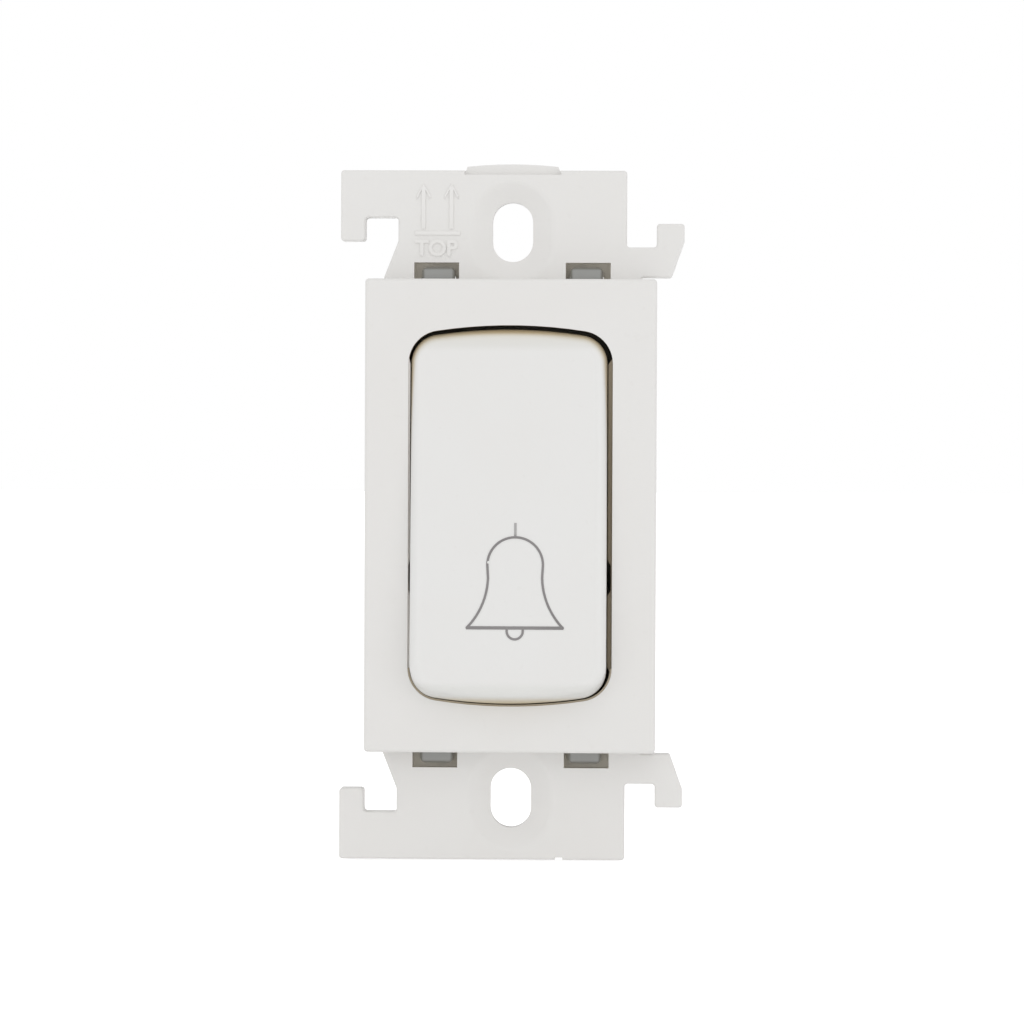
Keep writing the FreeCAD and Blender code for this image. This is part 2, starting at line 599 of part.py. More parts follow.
def rocker_block():
    """The rocker's outer block: a box whose ends are trimmed to leaning round faces."""
    box = document.addObject("Part::Box", "rocker_box")
    overlong = "(rocker_rear_half + 5)"
    box.setExpression("Length", bind("2 * rocker_half_broad"))
    box.setExpression("Width", bind("rocker_out + skirt_back"))
    box.setExpression("Height", bind(f"2 * {overlong}"))
    for axis, formula in (("x", "-rocker_half_broad"), ("y", "-rocker_out"), ("z", f"-{overlong}")):
        box.setExpression(f"Placement.Base.{axis}", bind(formula))
    shapes = [box]
    ends = (("upper", 1, "rocker_half_tall", "rocker_flare"),
            ("lower", -1, "rocker_half_tall", "lower_flare"),
            ("skirt", -1, "rocker_rear_half", "0"))
    for name, sign, half_tall, flare in ends:
        slope = f"({flare} / (rocker_out + skirt_back))"
        run_out = f"(rocker_out + skirt_back + 2 * end_radius * {slope})"
        level = number(f"{half_tall} - end_radius * sqrt(1 + {slope} ^ 2) - {run_out} * {slope}")
        lean = math.degrees(math.atan(number(slope)))
        end = document.addObject("Part::Cylinder", f"rocker_end_{name}")
        end.setExpression("Radius", bind("end_radius"))
        end.setExpression("Height", bind(f"3 * {run_out}"))
        start = Vector(0, -number(f"rocker_out + {run_out}"), sign * level)
        end.Placement = Placement(start, Rotation(Vector(1, 0, 0), -90 + sign * lean))
        shapes.append(end)
    block = document.addObject("Part::MultiCommon", "rocker_block")
    block.Shapes = shapes
    document.recompute()
    return block


def place_on_pivot(piece):
    """Set a rocker piece on its pivot at the rest angle."""
    turn = Rotation(Vector(1, 0, 0), -number("tilt"))
    piece.Placement = Placement(Vector(-number("rocker_shift"), -number("pivot_out"), 0), turn)


def bell_mark():
    """The printed bell sign, as one thin film on the rocker's front."""
    level = -number("rocker_out")
    middle, base = number("mark_across"), -number("mark_down")
    mouth, waist, dome = (number(n) for n in ("bell_half_broad", "bell_waist", "dome_radius"))
    dome_up, waist_up = number("dome_up"), number("bell_waist_up")
    clapper, drop = number("clapper_radius"), number("clapper_drop")

    def spot(across, up):
        return Vector(middle + across, level, base + up)

    def side(turn):
        top, narrow = spot(turn * dome, dome_up), spot(turn * waist, waist_up)
        bend = spot(turn * (waist + 0.25 * (mouth - waist)), 0.49 * waist_up)
        flare = Part.Arc(narrow, bend, spot(turn * mouth, 0))
        return [Part.makeLine(top, narrow), flare.toShape()]

    outlines = [
        [Part.Arc(spot(dome, dome_up), spot(0, dome_up + dome), spot(-dome, dome_up)).toShape(),
         *side(1), *side(-1)],
        [Part.makeLine(spot(-clapper, 0), spot(-clapper, -drop)),
         Part.Arc(spot(-clapper, -drop), spot(0, -drop - clapper), spot(clapper, -drop)).toShape(),
         Part.makeLine(spot(clapper, -drop), spot(clapper, 0))],
    ]
    half, thick = number("mark_stroke / 2"), number("mark_thick")
    low = number("mark_base_stroke") / 2
    film = Part.makeBox(2 * mouth + half, thick, 2 * low, spot(-mouth - half / 2, -low) - Vector(0, thick, 0))
    stem = Part.makeBox(2 * half, thick, number("stem_long"),
                        spot(-half, dome_up + dome) - Vector(0, thick, 0))
    film = film.fuse(stem)
    for edges in outlines:
        ordered = Part.sortEdges(edges)[0]
        band = Part.Wire(ordered).makeOffset2D(half, 0, False, False)
        film = film.fuse(Part.Face(Part.Wire(band.Edges)).extrude(Vector(0, -thick, 0)))
    film.rotate(spot(0, 0), Vector(0, 1, 0), number("mark_lean"))
    piece = document.addObject("Part::Feature", "bell_mark")
    piece.Label = "bell_mark"
    piece.Shape = film.removeSplitter().Solids[0]
    PIECES.append(piece)
    place_on_pivot(piece)


# Rear housing: open box with flange, four catches, seats and posts
def rear_housing():
    body = new_body("rear_housing")
    box = rectangle("-housing_half_broad", "housing_half_broad", "-housing_half_tall", "housing_half_tall")
    prism(body, "box", "XZ", box, "0", "housing_deep")
    round_edges(
        body, "box_corners", lambda e: runs_along(e, Vector(0, 1, 0)), "housing_wall / 2")
    flange = rectangle("-flange_half_broad", "flange_half_broad", "-flange_half_tall",
                       "flange_half_tall")
    prism(body, "flange", "XZ", flange, "0", "flange_thick")
    feet = [("cavity_half_broad + fit_play", "trunnion_radius + 2 * trunnion_play"),
            ("flange_half_broad", "trunnion_radius + 2 * trunnion_play"),
            ("flange_half_broad", "flange_half_tall"),
            ("cavity_half_broad + fit_play", "flange_half_tall")]
    prisms(body, "flange_feet", "XZ", in_four_corners(feet), "-rail_sink", "0.1")
    hollow = rectangle("-housing_half_broad + housing_wall", "housing_half_broad - housing_wall",
                       "-housing_half_tall + housing_wall", "housing_half_tall - housing_wall")
    prism(body, "hollow", "XZ", hollow, "0", "floor_front", cut=True)
    screws = [("0", "upper_screw_up"), ("0", "-lower_screw_down")]
    rods(body, "posts", "XZ", screws, "post_radius", "0", "floor_front + 0.2")
    rods(body, "pilots", "XZ", screws, "cover_screw_radius + seat_gap", "0",
         "cover_screw_long + 0.5", cut=True)
    seat = rectangle("-plunger_half_tall", "plunger_half_tall", "-press_down - plunger_half_tall",
                     "-press_down + plunger_half_tall")
    prism(body, "spring_seat", "XZ", seat, "return_seat", "floor_front + 0.2")
    rods(body, "spring_peg", "XZ", [("0", "-press_down")], "return_radius - return_wire - peg_play",
         "return_seat - peg_long", "return_seat + 0.2")
    terminal_seats(body)
    for side, turn in (("right", ""), ("left", "-")):
        catches(body, side, turn)


def terminal_seats(body):
    """Seats for the terminal blocks and contact strips, with their openings."""
    wall = "housing_half_broad - housing_wall / 2"
    both = ("", "-")
    blocks = [(rectangle(*span("block_inner", wall, turn), "block_low", "block_top"), {}) for turn in both]
    prisms(body, "block_seats", "XZ", blocks, "block_back + seat_gap", "floor_front + 0.2")
    strip_top = "-press_down + plunger_half_tall"
    strips = [(rectangle(*span("strip_inner", wall, turn), "-strip_low", strip_top), {}) for turn in both]
    prisms(body, "strip_seats", "XZ", strips, "strip_back + seat_gap", "floor_front + 0.2")
    grubs = [(f"{turn}block_middle", "block_low + block_tall / 2") for turn in both]
    rods(body, "screw_access", "XZ", grubs, "grub_radius + access_play", "block_back",
         "housing_deep", cut=True)
    wires = [(f"{turn}block_middle", "wire_deep") for turn in both]
    rods(body, "wire_entries", "XY", wires, "wire_radius + entry_play",
         "housing_half_tall - housing_wall - 0.5", "housing_half_tall", cut=True)


def catches(body, side, turn):
    """An upper and a lower springy arm, whose noses hold the ledges of the plate's windows."""
    head = "-plate_thick + catch_below"
    nose_rear = "-ledge_thick - fit_play"
    arm_end = "catch_start + catch_arm"
    root_back = "catch_root + catch_root_thick"
    profile = [
        ("catch_root", "housing_half_tall - 0.3"),
        (root_back, "housing_half_tall - 0.3"),
        (root_back, arm_end),
        (nose_rear, arm_end),
        (nose_rear, "catch_end"),
        (head, "catch_end"),
        (head, "catch_start"),
        ("catch_root", "catch_start"),
    ]
    low, high = span("catch_inner", "catch_outer", turn)
    loops = [(profile, {}), ([(deep, f"-({up})") for deep, up in profile], {})]
    prisms(body, f"catches_{side}", "YZ", loops, low, high)
    nose, sides = number("catch_end"), (number(low), number(high))

    def nose_corner(edge):
        middle = edge.BoundBox.Center
        at_nose = abs(abs(middle.z) - nose) < 1e-3
        at_side = min(abs(middle.x - side) for side in sides) < 1e-3
        return at_nose and at_side and runs_along(edge, Vector(0, 1, 0))

    round_edges(body, f"catch_noses_{side}", nose_corner, "catch_corner")


# Contact cover: guides the plunger, backs the trunnions and stops the rocker
def contact_cover():
    body = new_body("contact_cover")
    plate = rectangle("-cavity_half_broad + cover_play", "cavity_half_broad - cover_play",
                      "-cavity_half_tall + cover_play", "cavity_half_tall - cover_play")
    prism(body, "plate", "XZ", plate, "-cover_thick", "0")
    post = "trunnion_radius - fit_play"
    for side, turn in (("right", ""), ("left", "-")):
        sides = span("rocker_half_broad + 0.6", "cavity_half_broad + bearing_deep - fit_play", turn)
        prism(body, f"trunnion_stop_{side}", "XZ", rectangle(*sides, f"-({post})", post),
              "-pivot_out + trunnion_radius + trunnion_play", "0")
    guide = rectangle("-plunger_half_broad - plunger_play", "plunger_half_broad + plunger_play",
                      "-press_down - plunger_half_tall - plunger_play",
                      "-press_down + plunger_half_tall + plunger_play")
    prism(body, "plunger_guide", "XZ", guide, "-cover_thick", "0", cut=True)
    screws = [("0", "upper_screw_up"), ("0", "-lower_screw_down")]
    rods(body, "screw_holes", "XZ", screws, "cover_screw_radius + screw_play",
         "-cover_thick", "0", cut=True)


# Plunger: block with a stop flange and a window for the bridge
def plunger():
    body = new_body("plunger")
    stem = rectangle("-plunger_half_broad", "plunger_half_broad", "-press_down - plunger_half_tall",
                     "-press_down + plunger_half_tall")
    prism(body, "stem", "XZ", stem, "plunger_front", "plunger_back")
    wings = rectangle("-plunger_half_broad - plunger_flange", "plunger_half_broad + plunger_flange",
                      "-press_down - plunger_half_tall", "-press_down + plunger_half_tall")
    prism(body, "stop_flange", "XZ", wings, "flange_gap", "flange_gap + flange_deep")
    window = rectangle("window_front", "window_back", "-press_down - window_half_tall",
                       "-press_down + window_half_tall")
    prism(body, "window", "YZ", window, "-plunger_half_broad", "plunger_half_broad", cut=True)


def contact_bridge():
    body = new_body("contact_bridge")
    bar = rectangle("-bridge_half_long", "bridge_half_long", "-press_down - bridge_tall / 2",
                    "-press_down + bridge_tall / 2")
    prism(body, "bar", "XZ", bar, "bridge_back - bridge_thick", "bridge_back")
    round_edges(body, "ends", lambda e: runs_along(e, Vector(0, 1, 0)), "bridge_tall / 4")


def contact(label, across, front):
    """A round silver contact that faces along the depth."""
    disc = document.addObject("Part::Cylinder", label)
    disc.Label = label
    disc.setExpression("Radius", bind("contact_radius"))
    disc.setExpression("Height", bind("contact_thick"))
    spot = Vector(number(across), number(front), -number("press_down"))
    disc.Placement = Placement(spot, Rotation(Vector(1, 0, 0), -90))
    PIECES.append(disc)


def fixed_strip(side, turn):
    label = f"fixed_strip_{side}"
    strip = document.addObject("Part::Box", label)
    strip.Label = label
    strip.setExpression("Length", bind("strip_broad"))
    strip.setExpression("Width", bind("strip_thick"))
    strip.setExpression("Height", bind("strip_low + block_top - 0.5"))
    left = "-strip_inner - strip_broad" if turn else "strip_inner"
    strip.Placement.Base = Vector(number(left), number("strip_front"), -number("strip_low"))
    PIECES.append(strip)


def terminal_block(side, turn):
    body = new_body(f"terminal_block_{side}")
    sides = span("block_inner", "block_inner + block_broad", turn)
    prism(body, "block", "XZ", rectangle(*sides, "block_low", "block_top"), "block_front", "block_back")
    across = f"{turn}block_middle"
    rods(body, "wire_bore", "XY", [(across, "wire_deep")], "wire_radius",
         "block_low", "block_top", cut=True)
    rods(body, "screw_hole", "XZ", [(across, "block_low + block_tall / 2")], "grub_radius + grub_play",
         "wire_deep", "block_back", cut=True)


def slotted_screw(label, across, up, shank, head):
    """A screw along the depth: shank and head give radius, front and rear; head is outermost."""
    body = new_body(label)
    rods(body, "shank", "XZ", [(across, up)], *shank)
    if head:
        rods(body, "head", "XZ", [(across, up)], *head)
        low, high = head[1], f"{head[1]} + drive_deep"
        reach = head[0]
    else:
        low, high = f"{shank[2]} - drive_deep", shank[2]
        reach = shank[0]
    slot = rectangle(f"{across} - ({reach}) - 1", f"{across} + {reach} + 1",
                     f"{up} - drive_slot / 2", f"{up} + drive_slot / 2")
    prism(body, "drive", "XZ", slot, low, high, cut=True)


def spring(label, radius, wire, turns, front, rear):
    """A coil spring along the depth at the plunger's axis."""
    mean, thick = number(radius), number(wire)
    start, end = number(front) + thick, number(rear) - thick
    helix = Part.makeHelix((end - start) / number(turns), end - start, mean)
    section = Part.Wire([Part.makeCircle(thick, Vector(mean, 0, 0), Vector(0, 1, 0))])
    coil = Part.Wire(helix.Edges).makePipeShell([section], True, True)
    piece = document.addObject("Part::Feature", label)
    piece.Label = label
    piece.Shape = coil
    spot = Vector(0, start, -number("press_down"))
    piece.Placement = Placement(spot, Rotation(Vector(1, 0, 0), -90))
    PIECES.append(piece)


def small_pieces():
    """Contacts, strips, terminals, screws and springs."""
    for side, turn in (("left", "-"), ("right", "")):
        across = f"{turn}contact_across"
        contact(f"contact_tip_{side}", across, "bridge_back")
        contact(f"fixed_contact_{side}", across, "fixed_front")
        fixed_strip(side, turn)
        terminal_block(side, turn)
        slotted_screw(f"terminal_screw_{side}", f"{turn}block_middle", "block_low + block_tall / 2",
                      ("grub_radius", "grub_tip", "grub_back"), None)
    under_head = "-cover_thick - seat_gap"
    for name, up in (("upper", "upper_screw_up"), ("lower", "-lower_screw_down")):
        slotted_screw(f"cover_screw_{name}", "0", up,
                      ("cover_screw_radius", under_head, "cover_screw_long - cover_thick"),
                      ("cover_head_radius", f"{under_head} - cover_head_thick", under_head))
    spring("return_spring", "return_radius", "return_wire", "return_turns",
           "plunger_back + seat_gap", "return_seat - seat_gap")
    spring("overtravel_spring", "over_radius", "over_wire", "over_turns",
           "window_front + seat_gap", "bridge_back - bridge_thick - seat_gap")


def check_all():
    """Stop if any object failed or any sub-part isn't one valid solid."""
    document.recompute()
    for item in document.Objects:
        if {"Invalid", "Error"} & set(item.State):
            raise RuntimeError(f"{item.Name} failed: {item.State}")
    for piece in PIECES:
        shape = piece.Shape
        if shape.isNull() or not shape.isValid() or len(shape.Solids) != 1:
            raise RuntimeError(f"{piece.Label}: {len(shape.Solids)} solids, valid {shape.isValid()}")


def write_all():
    """Write each sub-part to its own file."""
    os.makedirs("parts", exist_ok=True)
    for piece in PIECES:
        piece.Shape.exportStep(f"parts/{piece.Label}.step")
        box = piece.Shape.BoundBox
        print(f"{piece.Label:22s} {piece.Shape.Volume:9.2f} mm3  x {box.XMin:7.2f} {box.XMax:7.2f}"
              f"  y {box.YMin:7.2f} {box.YMax:7.2f}  z {box.ZMin:7.2f} {box.ZMax:7.2f}")


front_frame()
rocker()
bell_mark()
rear_housing()
contact_cover()
plunger()
contact_bridge()
small_pieces()
check_all()
write_all()
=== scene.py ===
"""Doorbell push button: finishes, raised marks, guide ribs, screws, coils and studio.

The measured parts come from the frame. Metres: +X is right, -Y is towards the person, +Z is up.
"""
import math

import bmesh
import bpy
from bpy.props import FloatProperty, FloatVectorProperty, IntProperty, PointerProperty
from mathutils import Matrix, Vector


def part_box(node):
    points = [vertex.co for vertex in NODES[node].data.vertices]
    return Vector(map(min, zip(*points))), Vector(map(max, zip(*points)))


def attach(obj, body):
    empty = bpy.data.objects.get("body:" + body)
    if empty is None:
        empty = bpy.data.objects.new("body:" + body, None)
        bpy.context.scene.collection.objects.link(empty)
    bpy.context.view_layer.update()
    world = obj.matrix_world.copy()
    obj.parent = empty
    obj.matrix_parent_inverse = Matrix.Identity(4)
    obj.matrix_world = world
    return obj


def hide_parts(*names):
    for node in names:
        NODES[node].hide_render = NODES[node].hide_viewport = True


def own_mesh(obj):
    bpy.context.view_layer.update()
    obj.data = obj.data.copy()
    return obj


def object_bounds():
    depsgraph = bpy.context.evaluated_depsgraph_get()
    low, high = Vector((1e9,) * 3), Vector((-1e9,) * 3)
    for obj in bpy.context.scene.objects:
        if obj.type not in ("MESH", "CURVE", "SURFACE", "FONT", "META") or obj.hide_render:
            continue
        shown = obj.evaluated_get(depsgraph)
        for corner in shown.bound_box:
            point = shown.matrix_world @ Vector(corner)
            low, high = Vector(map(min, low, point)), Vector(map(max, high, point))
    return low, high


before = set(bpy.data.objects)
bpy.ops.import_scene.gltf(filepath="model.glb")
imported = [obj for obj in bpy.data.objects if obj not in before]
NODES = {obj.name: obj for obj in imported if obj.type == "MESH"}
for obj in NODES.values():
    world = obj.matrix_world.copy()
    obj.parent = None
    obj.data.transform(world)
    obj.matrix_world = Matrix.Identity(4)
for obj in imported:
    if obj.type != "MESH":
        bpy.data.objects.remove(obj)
CAD_LOW, CAD_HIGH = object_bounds()

# Front face of the support plate, from the face of the wall
PLATE_FRONT = -0.0026
# A point this close to a place counts as on it, and doubles this close are merged
NEAR = 1e-6
DOUBLES = 1e-7
# Edges sharper than this are softened
SHARP = math.radians(40)
# Rounding of the raised marks' edges
MARK_SOFT = 0.00003
# Colour sockets of the Mix node, whose other sockets have the same names
MIX_FIRST = 6
MIX_SECOND = 7
MIX_RESULT = 2
# Sunk places that get painted shade, mirrored left to right and top to bottom:
# nearest corner, farthest corner and how softly the painted shade starts
PAINTED_SHADE_BOXES = {
    "window": ((0.0056, -0.00245, 0.0239), (0.0105, 0.001, 0.0268), 0.00012),
    "opening": ((0.0, -0.00694, 0.0), (0.0135, 0.001, 0.0234), 0.00005),
    "sunk flank": ((0.0, -0.0066, 0.0), (0.02, 0.001, 0.03), 0.0006),
    "lower round": ((0.0, -0.0105, 0.0181), (0.02, -0.0072, 0.021), 0.0009),
    "lower flank": ((0.0, -0.0105, 0.0196), (0.02, -0.0068, 0.021), 0.0008),
    "inner edge": ((0.0055, -0.0026, 0.0235), (0.0062, 0.0, 0.0275), 0.0003),
    "outer edge": ((0.0095, -0.0026, 0.0235), (0.0102, 0.0, 0.0275), 0.0003),
    "nose edge": ((0.0055, -0.0026, 0.0262), (0.0102, 0.0, 0.0275), 0.0003),
    "well": ((0.0, -0.004, 0.0), (0.0135, 0.0, 0.0234), 0.00012),
}

bl_info = {
    "name": "Doorbell Push Button",
    "version": (1, 0, 0),
    "blender": (4, 5, 0),
    "location": "3D View > Sidebar > Push Button",
    "description": "Dresses a flush-mounted doorbell push button with its finishes and marks",
    "category": "Object",
}


# Settings

def colour(name, description, default):
    """A finish colour that the user can change."""
    return FloatVectorProperty(
        name=name, description=description, default=default, size=3, min=0.0, max=1.0,
        subtype="COLOR")


def length(name, description, default):
    """A size that the user can change."""
    return FloatProperty(
        name=name, description=description, default=default, precision=5,
        unit="LENGTH", subtype="DISTANCE")


class PushButtonColours(bpy.types.PropertyGroup):
    """Colours of the finishes and of the painted shade in the sunk places"""
    frame_white: colour("Frame", "Satin white of the support frame", (0.775, 0.766, 0.75))
    rocker_white: colour("Rocker", "Smooth white of the rocker", (0.785, 0.782, 0.77))
    # The next five colours are painted shade: they darken and warm sunk places in place of shadow
    # and warm bounced light
    window_shade_tint: colour("Window walls", "Deeper tone in the catch windows", (1.0, 0.96, 0.87))
    opening_shade_tint: colour("Opening walls", "Deeper tone inside the opening", (0.5, 0.43, 0.32))
    flank_shade_tint: colour("Rocker flanks", "Deeper tone on the rocker's sunk flanks", (0.8, 0.7, 0.52))
    catch_edge_shadow_tint: colour("Catch edges", "Deeper tone round the catches' edges", (0.5, 0.48, 0.43))
    lower_round_shade_tint: colour("Lower round", "Deeper tone low on the rocker", (0.94, 0.945, 0.935))
    print_grey: colour("Bell mark", "Grey of the printed bell", (0.2, 0.19, 0.19))
    housing_grey: colour("Housing", "Grey of the housing and its catches", (0.34, 0.343, 0.333))
    natural: colour("Plunger", "Uncoloured plastic of the plunger", (0.62, 0.58, 0.48))
    brass: colour("Brass", "Brass of the terminals and strips", (0.72, 0.53, 0.25))
    silver: colour("Contacts", "Silver of the contacts", (0.82, 0.8, 0.77))
    steel: colour("Springs", "Drawn steel of the springs", (0.5, 0.5, 0.51))
    zinc: colour("Screws", "Zinc plating of the screws", (0.62, 0.63, 0.65))


class PushButtonRelief(bpy.types.PropertyGroup):
    """Places and sizes of the raised marks"""
    rise: length("Rise", "Height of the raised marks above the plate", 0.00014)
    left_arrow: length("Left arrow", "Centre of the left arrow", -0.00943)
    right_arrow: length("Right arrow", "Centre of the right arrow", -0.00648)
    arrow_low: length("Arrow foot", "Lower end of the arrows", 0.0303)
    arrow_tip: length("Arrow tip", "Height of the arrow tips", 0.0350)
    stem_broad: length("Stem width", "Width of an arrow's stem", 0.00042)
    barb_broad: length("Barb width", "Upright width of the barbs of an arrow", 0.00058)
    barb_reach: length("Barb reach", "How far the barbs reach to each side", 0.00052)
    barb_drop: length("Barb drop", "How far the barbs run down", 0.00100)
    bar_level: length("Bar height", "Height of the bar under the arrows", 0.02985)
    bar_broad: length("Bar width", "Upright width of the bar", 0.00040)
    bar_left: length("Bar left", "Left end of the bar", -0.01032)
    bar_right: length("Bar right", "Right end of the bar", -0.00555)
    word_low: length("Word foot", "Lower edge of the word", 0.02742)
    word_tall: length("Word height", "Height of the word's letters", 0.00175)
    word_right: length("Word right", "Right end of the word", -0.00578)
    word_bold: length("Word weight", "Extra weight of the word's strokes", 0.00007)


class PushButtonRibs(bpy.types.PropertyGroup):
    """Places and sizes of the guide ribs and the lower lip"""
    wall: length("Wall", "Side walls of the opening from the middle", 0.010725)
    right_reach: length("Right reach", "How far the right rib stands off its wall", 0.00050)
    left_reach: length("Left reach", "How far the left rib stands off its wall", 0.00017)
    right_front: length("Right front", "Front face of the right rib", -0.0059)
    left_front: length("Left front", "Front face of the left rib", -0.0067)
    back: length("Back", "Rear faces of the ribs", -0.0054)
    tall: length("Height", "Height of the ribs", 0.0330)
    notch_at: length("Notch place", "Middle of the notch in each rib", -0.0065)
    notch: length("Notch", "Half height of the notch", 0.0013)
    opening_low: length("Opening foot", "Lower end of the opening below the middle", 0.02002)
    bow: length("Bow", "Radius of the opening's bowed ends", 0.051)
    corner: length("Corner", "Radius of the opening's corners", 0.00345)
    lip: length("Lip", "How far the lower lip stands into the opening", 0.00019)
    lip_front: length("Lip front", "Front face of the lower lip", -0.00692)
    lip_back: length("Lip back", "Rear face of the lower lip", -0.00655)


class PushButtonScrew(bpy.types.PropertyGroup):
    """Thread and slot of the terminal screws"""
    pitch: length("Pitch", "Distance between two thread crests", 0.0005)
    crest: length("Thread depth", "Depth of the thread", 0.00018)
    slot_broad: length("Slot width", "Width of the screwdriver slot", 0.0005)
    slot_deep: length("Slot depth", "Depth of the screwdriver slot", 0.0006)
    sides: IntProperty(name="Sides", description="Corners round the screw", default=48, min=12)


class PushButtonSprings(bpy.types.PropertyGroup):
    """How far the two coils shorten"""
    press_stroke: length("Press stroke", "How far a full press shortens the return spring", 0.00150)
    bridge_stroke: length(
        "Bridge stroke", "How far a full press shortens the overtravel spring", 0.00036)


class PushButtonStudio(bpy.types.PropertyGroup):
    """Camera and light"""
    distance: length("Camera distance", "Camera from the middle of the plate", 0.5)
    focal: FloatProperty(name="Focal length", description="Camera lens in millimetres",
                         default=166.0, subtype="DISTANCE_CAMERA")
    turn: FloatProperty(name="Turn", description="Camera round to the right of the front",
                        default=math.radians(1.9), subtype="ANGLE")
    rise: FloatProperty(name="Rise", description="Camera above the level of the front",
                        default=math.radians(0.8), subtype="ANGLE")
    roll: FloatProperty(name="Roll", description="Lean of the upright to the right",
                        default=math.radians(0.23), subtype="ANGLE")
    aim_across: length("Aim across", "Point in the middle of the picture, across", 0.00006)
    aim_up: length("Aim up", "Point in the middle of the picture, up", 0.00036)
    sky: FloatProperty(name="Surround light", description="Brightness of the white surround",
                       default=0.785, min=0.0)
    key: FloatProperty(name="Upper light", description="Power of the soft light above the camera",
                       default=1.15, min=0.0, subtype="POWER", unit="POWER")
    fill: FloatProperty(name="Side lights", description="Power of the low light at the left",
                        default=1.0, min=0.0, subtype="POWER", unit="POWER")
    right_share: FloatProperty(
        name="Right light", description="Power of the low light at the right, as a share",
        default=0.8, min=0.0, subtype="FACTOR")
    floor_glow: FloatProperty(name="Floor light", description="Soft light that the floor gives off",
                              default=0.15, min=0.0)


class PushButtonSettings(bpy.types.PropertyGroup):
    """All values of the push button"""
    colours: PointerProperty(type=PushButtonColours)
    relief: PointerProperty(type=PushButtonRelief)
    ribs: PointerProperty(type=PushButtonRibs)
    screw: PointerProperty(type=PushButtonScrew)
    springs: PointerProperty(type=PushButtonSprings)
    studio: PointerProperty(type=PushButtonStudio)


def settings():
    """The values that the user can change."""
    return bpy.context.scene.push_button


# Modelling helpers

def deselect():
    """Leave nothing selected, so that an operator acts only on what comes next."""
    if bpy.context.object and bpy.context.object.mode != "OBJECT":
        bpy.ops.object.mode_set(mode="OBJECT")
    bpy.ops.object.select_all(action="DESELECT")


def settle(piece, name):
    """Name a fresh primitive and bring its place and size into its mesh."""
    piece.name = name
    piece.data.name = name
    bpy.ops.object.transform_apply(location=True, rotation=True, scale=True)
    return piece


def pick(piece, kind, test):
    """In edit mode, select only the vertices, edges or faces whose middle passes the test."""
    bpy.ops.mesh.select_mode(type=kind)
    bpy.ops.mesh.select_all(action="DESELECT")
    shape = bmesh.from_edit_mesh(piece.data)
    if kind == "VERT":
        chosen = [v for v in shape.verts if test(v.co)]
    elif kind == "EDGE":
        chosen = [e for e in shape.edges if test((e.verts[0].co + e.verts[1].co) / 2)]
    else:
        chosen = [f for f in shape.faces if test(f.calc_center_median())]
    for item in chosen:
        item.select_set(True)
    bmesh.update_edit_mesh(piece.data)
    if not chosen:
        raise RuntimeError(f"{piece.name}: nothing to select")


def close_up(piece, angle=30.0):
    """Merge doubles, turn the faces outwards and shade the soft edges smooth."""
    bpy.ops.object.mode_set(mode="EDIT")
    bpy.ops.mesh.select_all(action="SELECT")
    bpy.ops.mesh.remove_doubles(threshold=DOUBLES)
    bpy.ops.mesh.normals_make_consistent(inside=False)
    bpy.ops.object.mode_set(mode="OBJECT")
    bpy.ops.object.shade_smooth_by_angle(angle=math.radians(angle))
    return piece


def apply_modifiers(piece):
    """Apply every modifier in its order."""
    bpy.context.view_layer.objects.active = piece
    for modifier in list(piece.modifiers):
        bpy.ops.object.modifier_apply(modifier=modifier.name)


def soften_edges(piece, width, segments):
    """Round the sharp edges of a piece and finish its mesh."""
    bevel = piece.modifiers.new("Soft edges", "BEVEL")
    bevel.width = width
    bevel.segments = segments
    bevel.limit_method = "ANGLE"
    bevel.angle_limit = SHARP
    apply_modifiers(piece)
    return close_up(piece)


def thicken(piece, depth):
    """Give a flat mark its depth, half to each side, and soften its edges."""
    wall = piece.modifiers.new("Depth", "SOLIDIFY")
    wall.thickness = depth
    wall.offset = 0.0
    return soften_edges(piece, MARK_SOFT, 2)


def flat_start(name, left, right, low, high, depth):
    """An upright rectangle that faces the person."""
    deselect()
    middle = ((left + right) / 2, depth, (low + high) / 2)
    bpy.ops.mesh.primitive_plane_add(size=1, location=middle, rotation=(math.pi / 2, 0, 0))
    piece = bpy.context.object
    piece.scale = (right - left, high - low, 1)
    return settle(piece, name)


# Raised marks

def raised_arrow(name, across, relief, level, depth):
    """One upward arrow: a stem whose upper sides are drawn out into two barbs."""
    barb_end = 0.7
    tip_end = 0.3
    half = relief.stem_broad / 2
    neck = relief.arrow_tip - relief.barb_broad
    piece = flat_start(
        name, across - half, across + half, relief.arrow_low, relief.arrow_tip, level)
    bpy.ops.object.mode_set(mode="EDIT")
    bpy.ops.mesh.select_all(action="SELECT")
    bpy.ops.mesh.bisect(plane_co=(0, 0, neck), plane_no=(0, 0, 1))
    for side in (-1, 1):
        flank = across + side * half
        pick(piece, "EDGE", lambda middle: abs(middle.x - flank) < NEAR and middle.z > neck)
        step = (side * relief.barb_reach, 0, -relief.barb_drop)
        bpy.ops.mesh.extrude_region_move(TRANSFORM_OT_translate={"value": step})
        ends = bpy.context.object.data.total_edge_sel
        if ends != 1:
            raise RuntimeError(f"{name}: {ends} barb ends")
        foot = (across + side * (half + relief.barb_reach), level, neck - relief.barb_drop)
        bpy.ops.transform.resize(value=(1, 1, barb_end), center_override=foot)
    pick(piece, "EDGE", lambda middle: abs(middle.z - relief.arrow_tip) < NEAR)
    top = (across, level, relief.arrow_tip)
    bpy.ops.transform.resize(value=(tip_end, 1, 1), center_override=top)
    bpy.ops.object.mode_set(mode="OBJECT")
    return thicken(piece, depth)


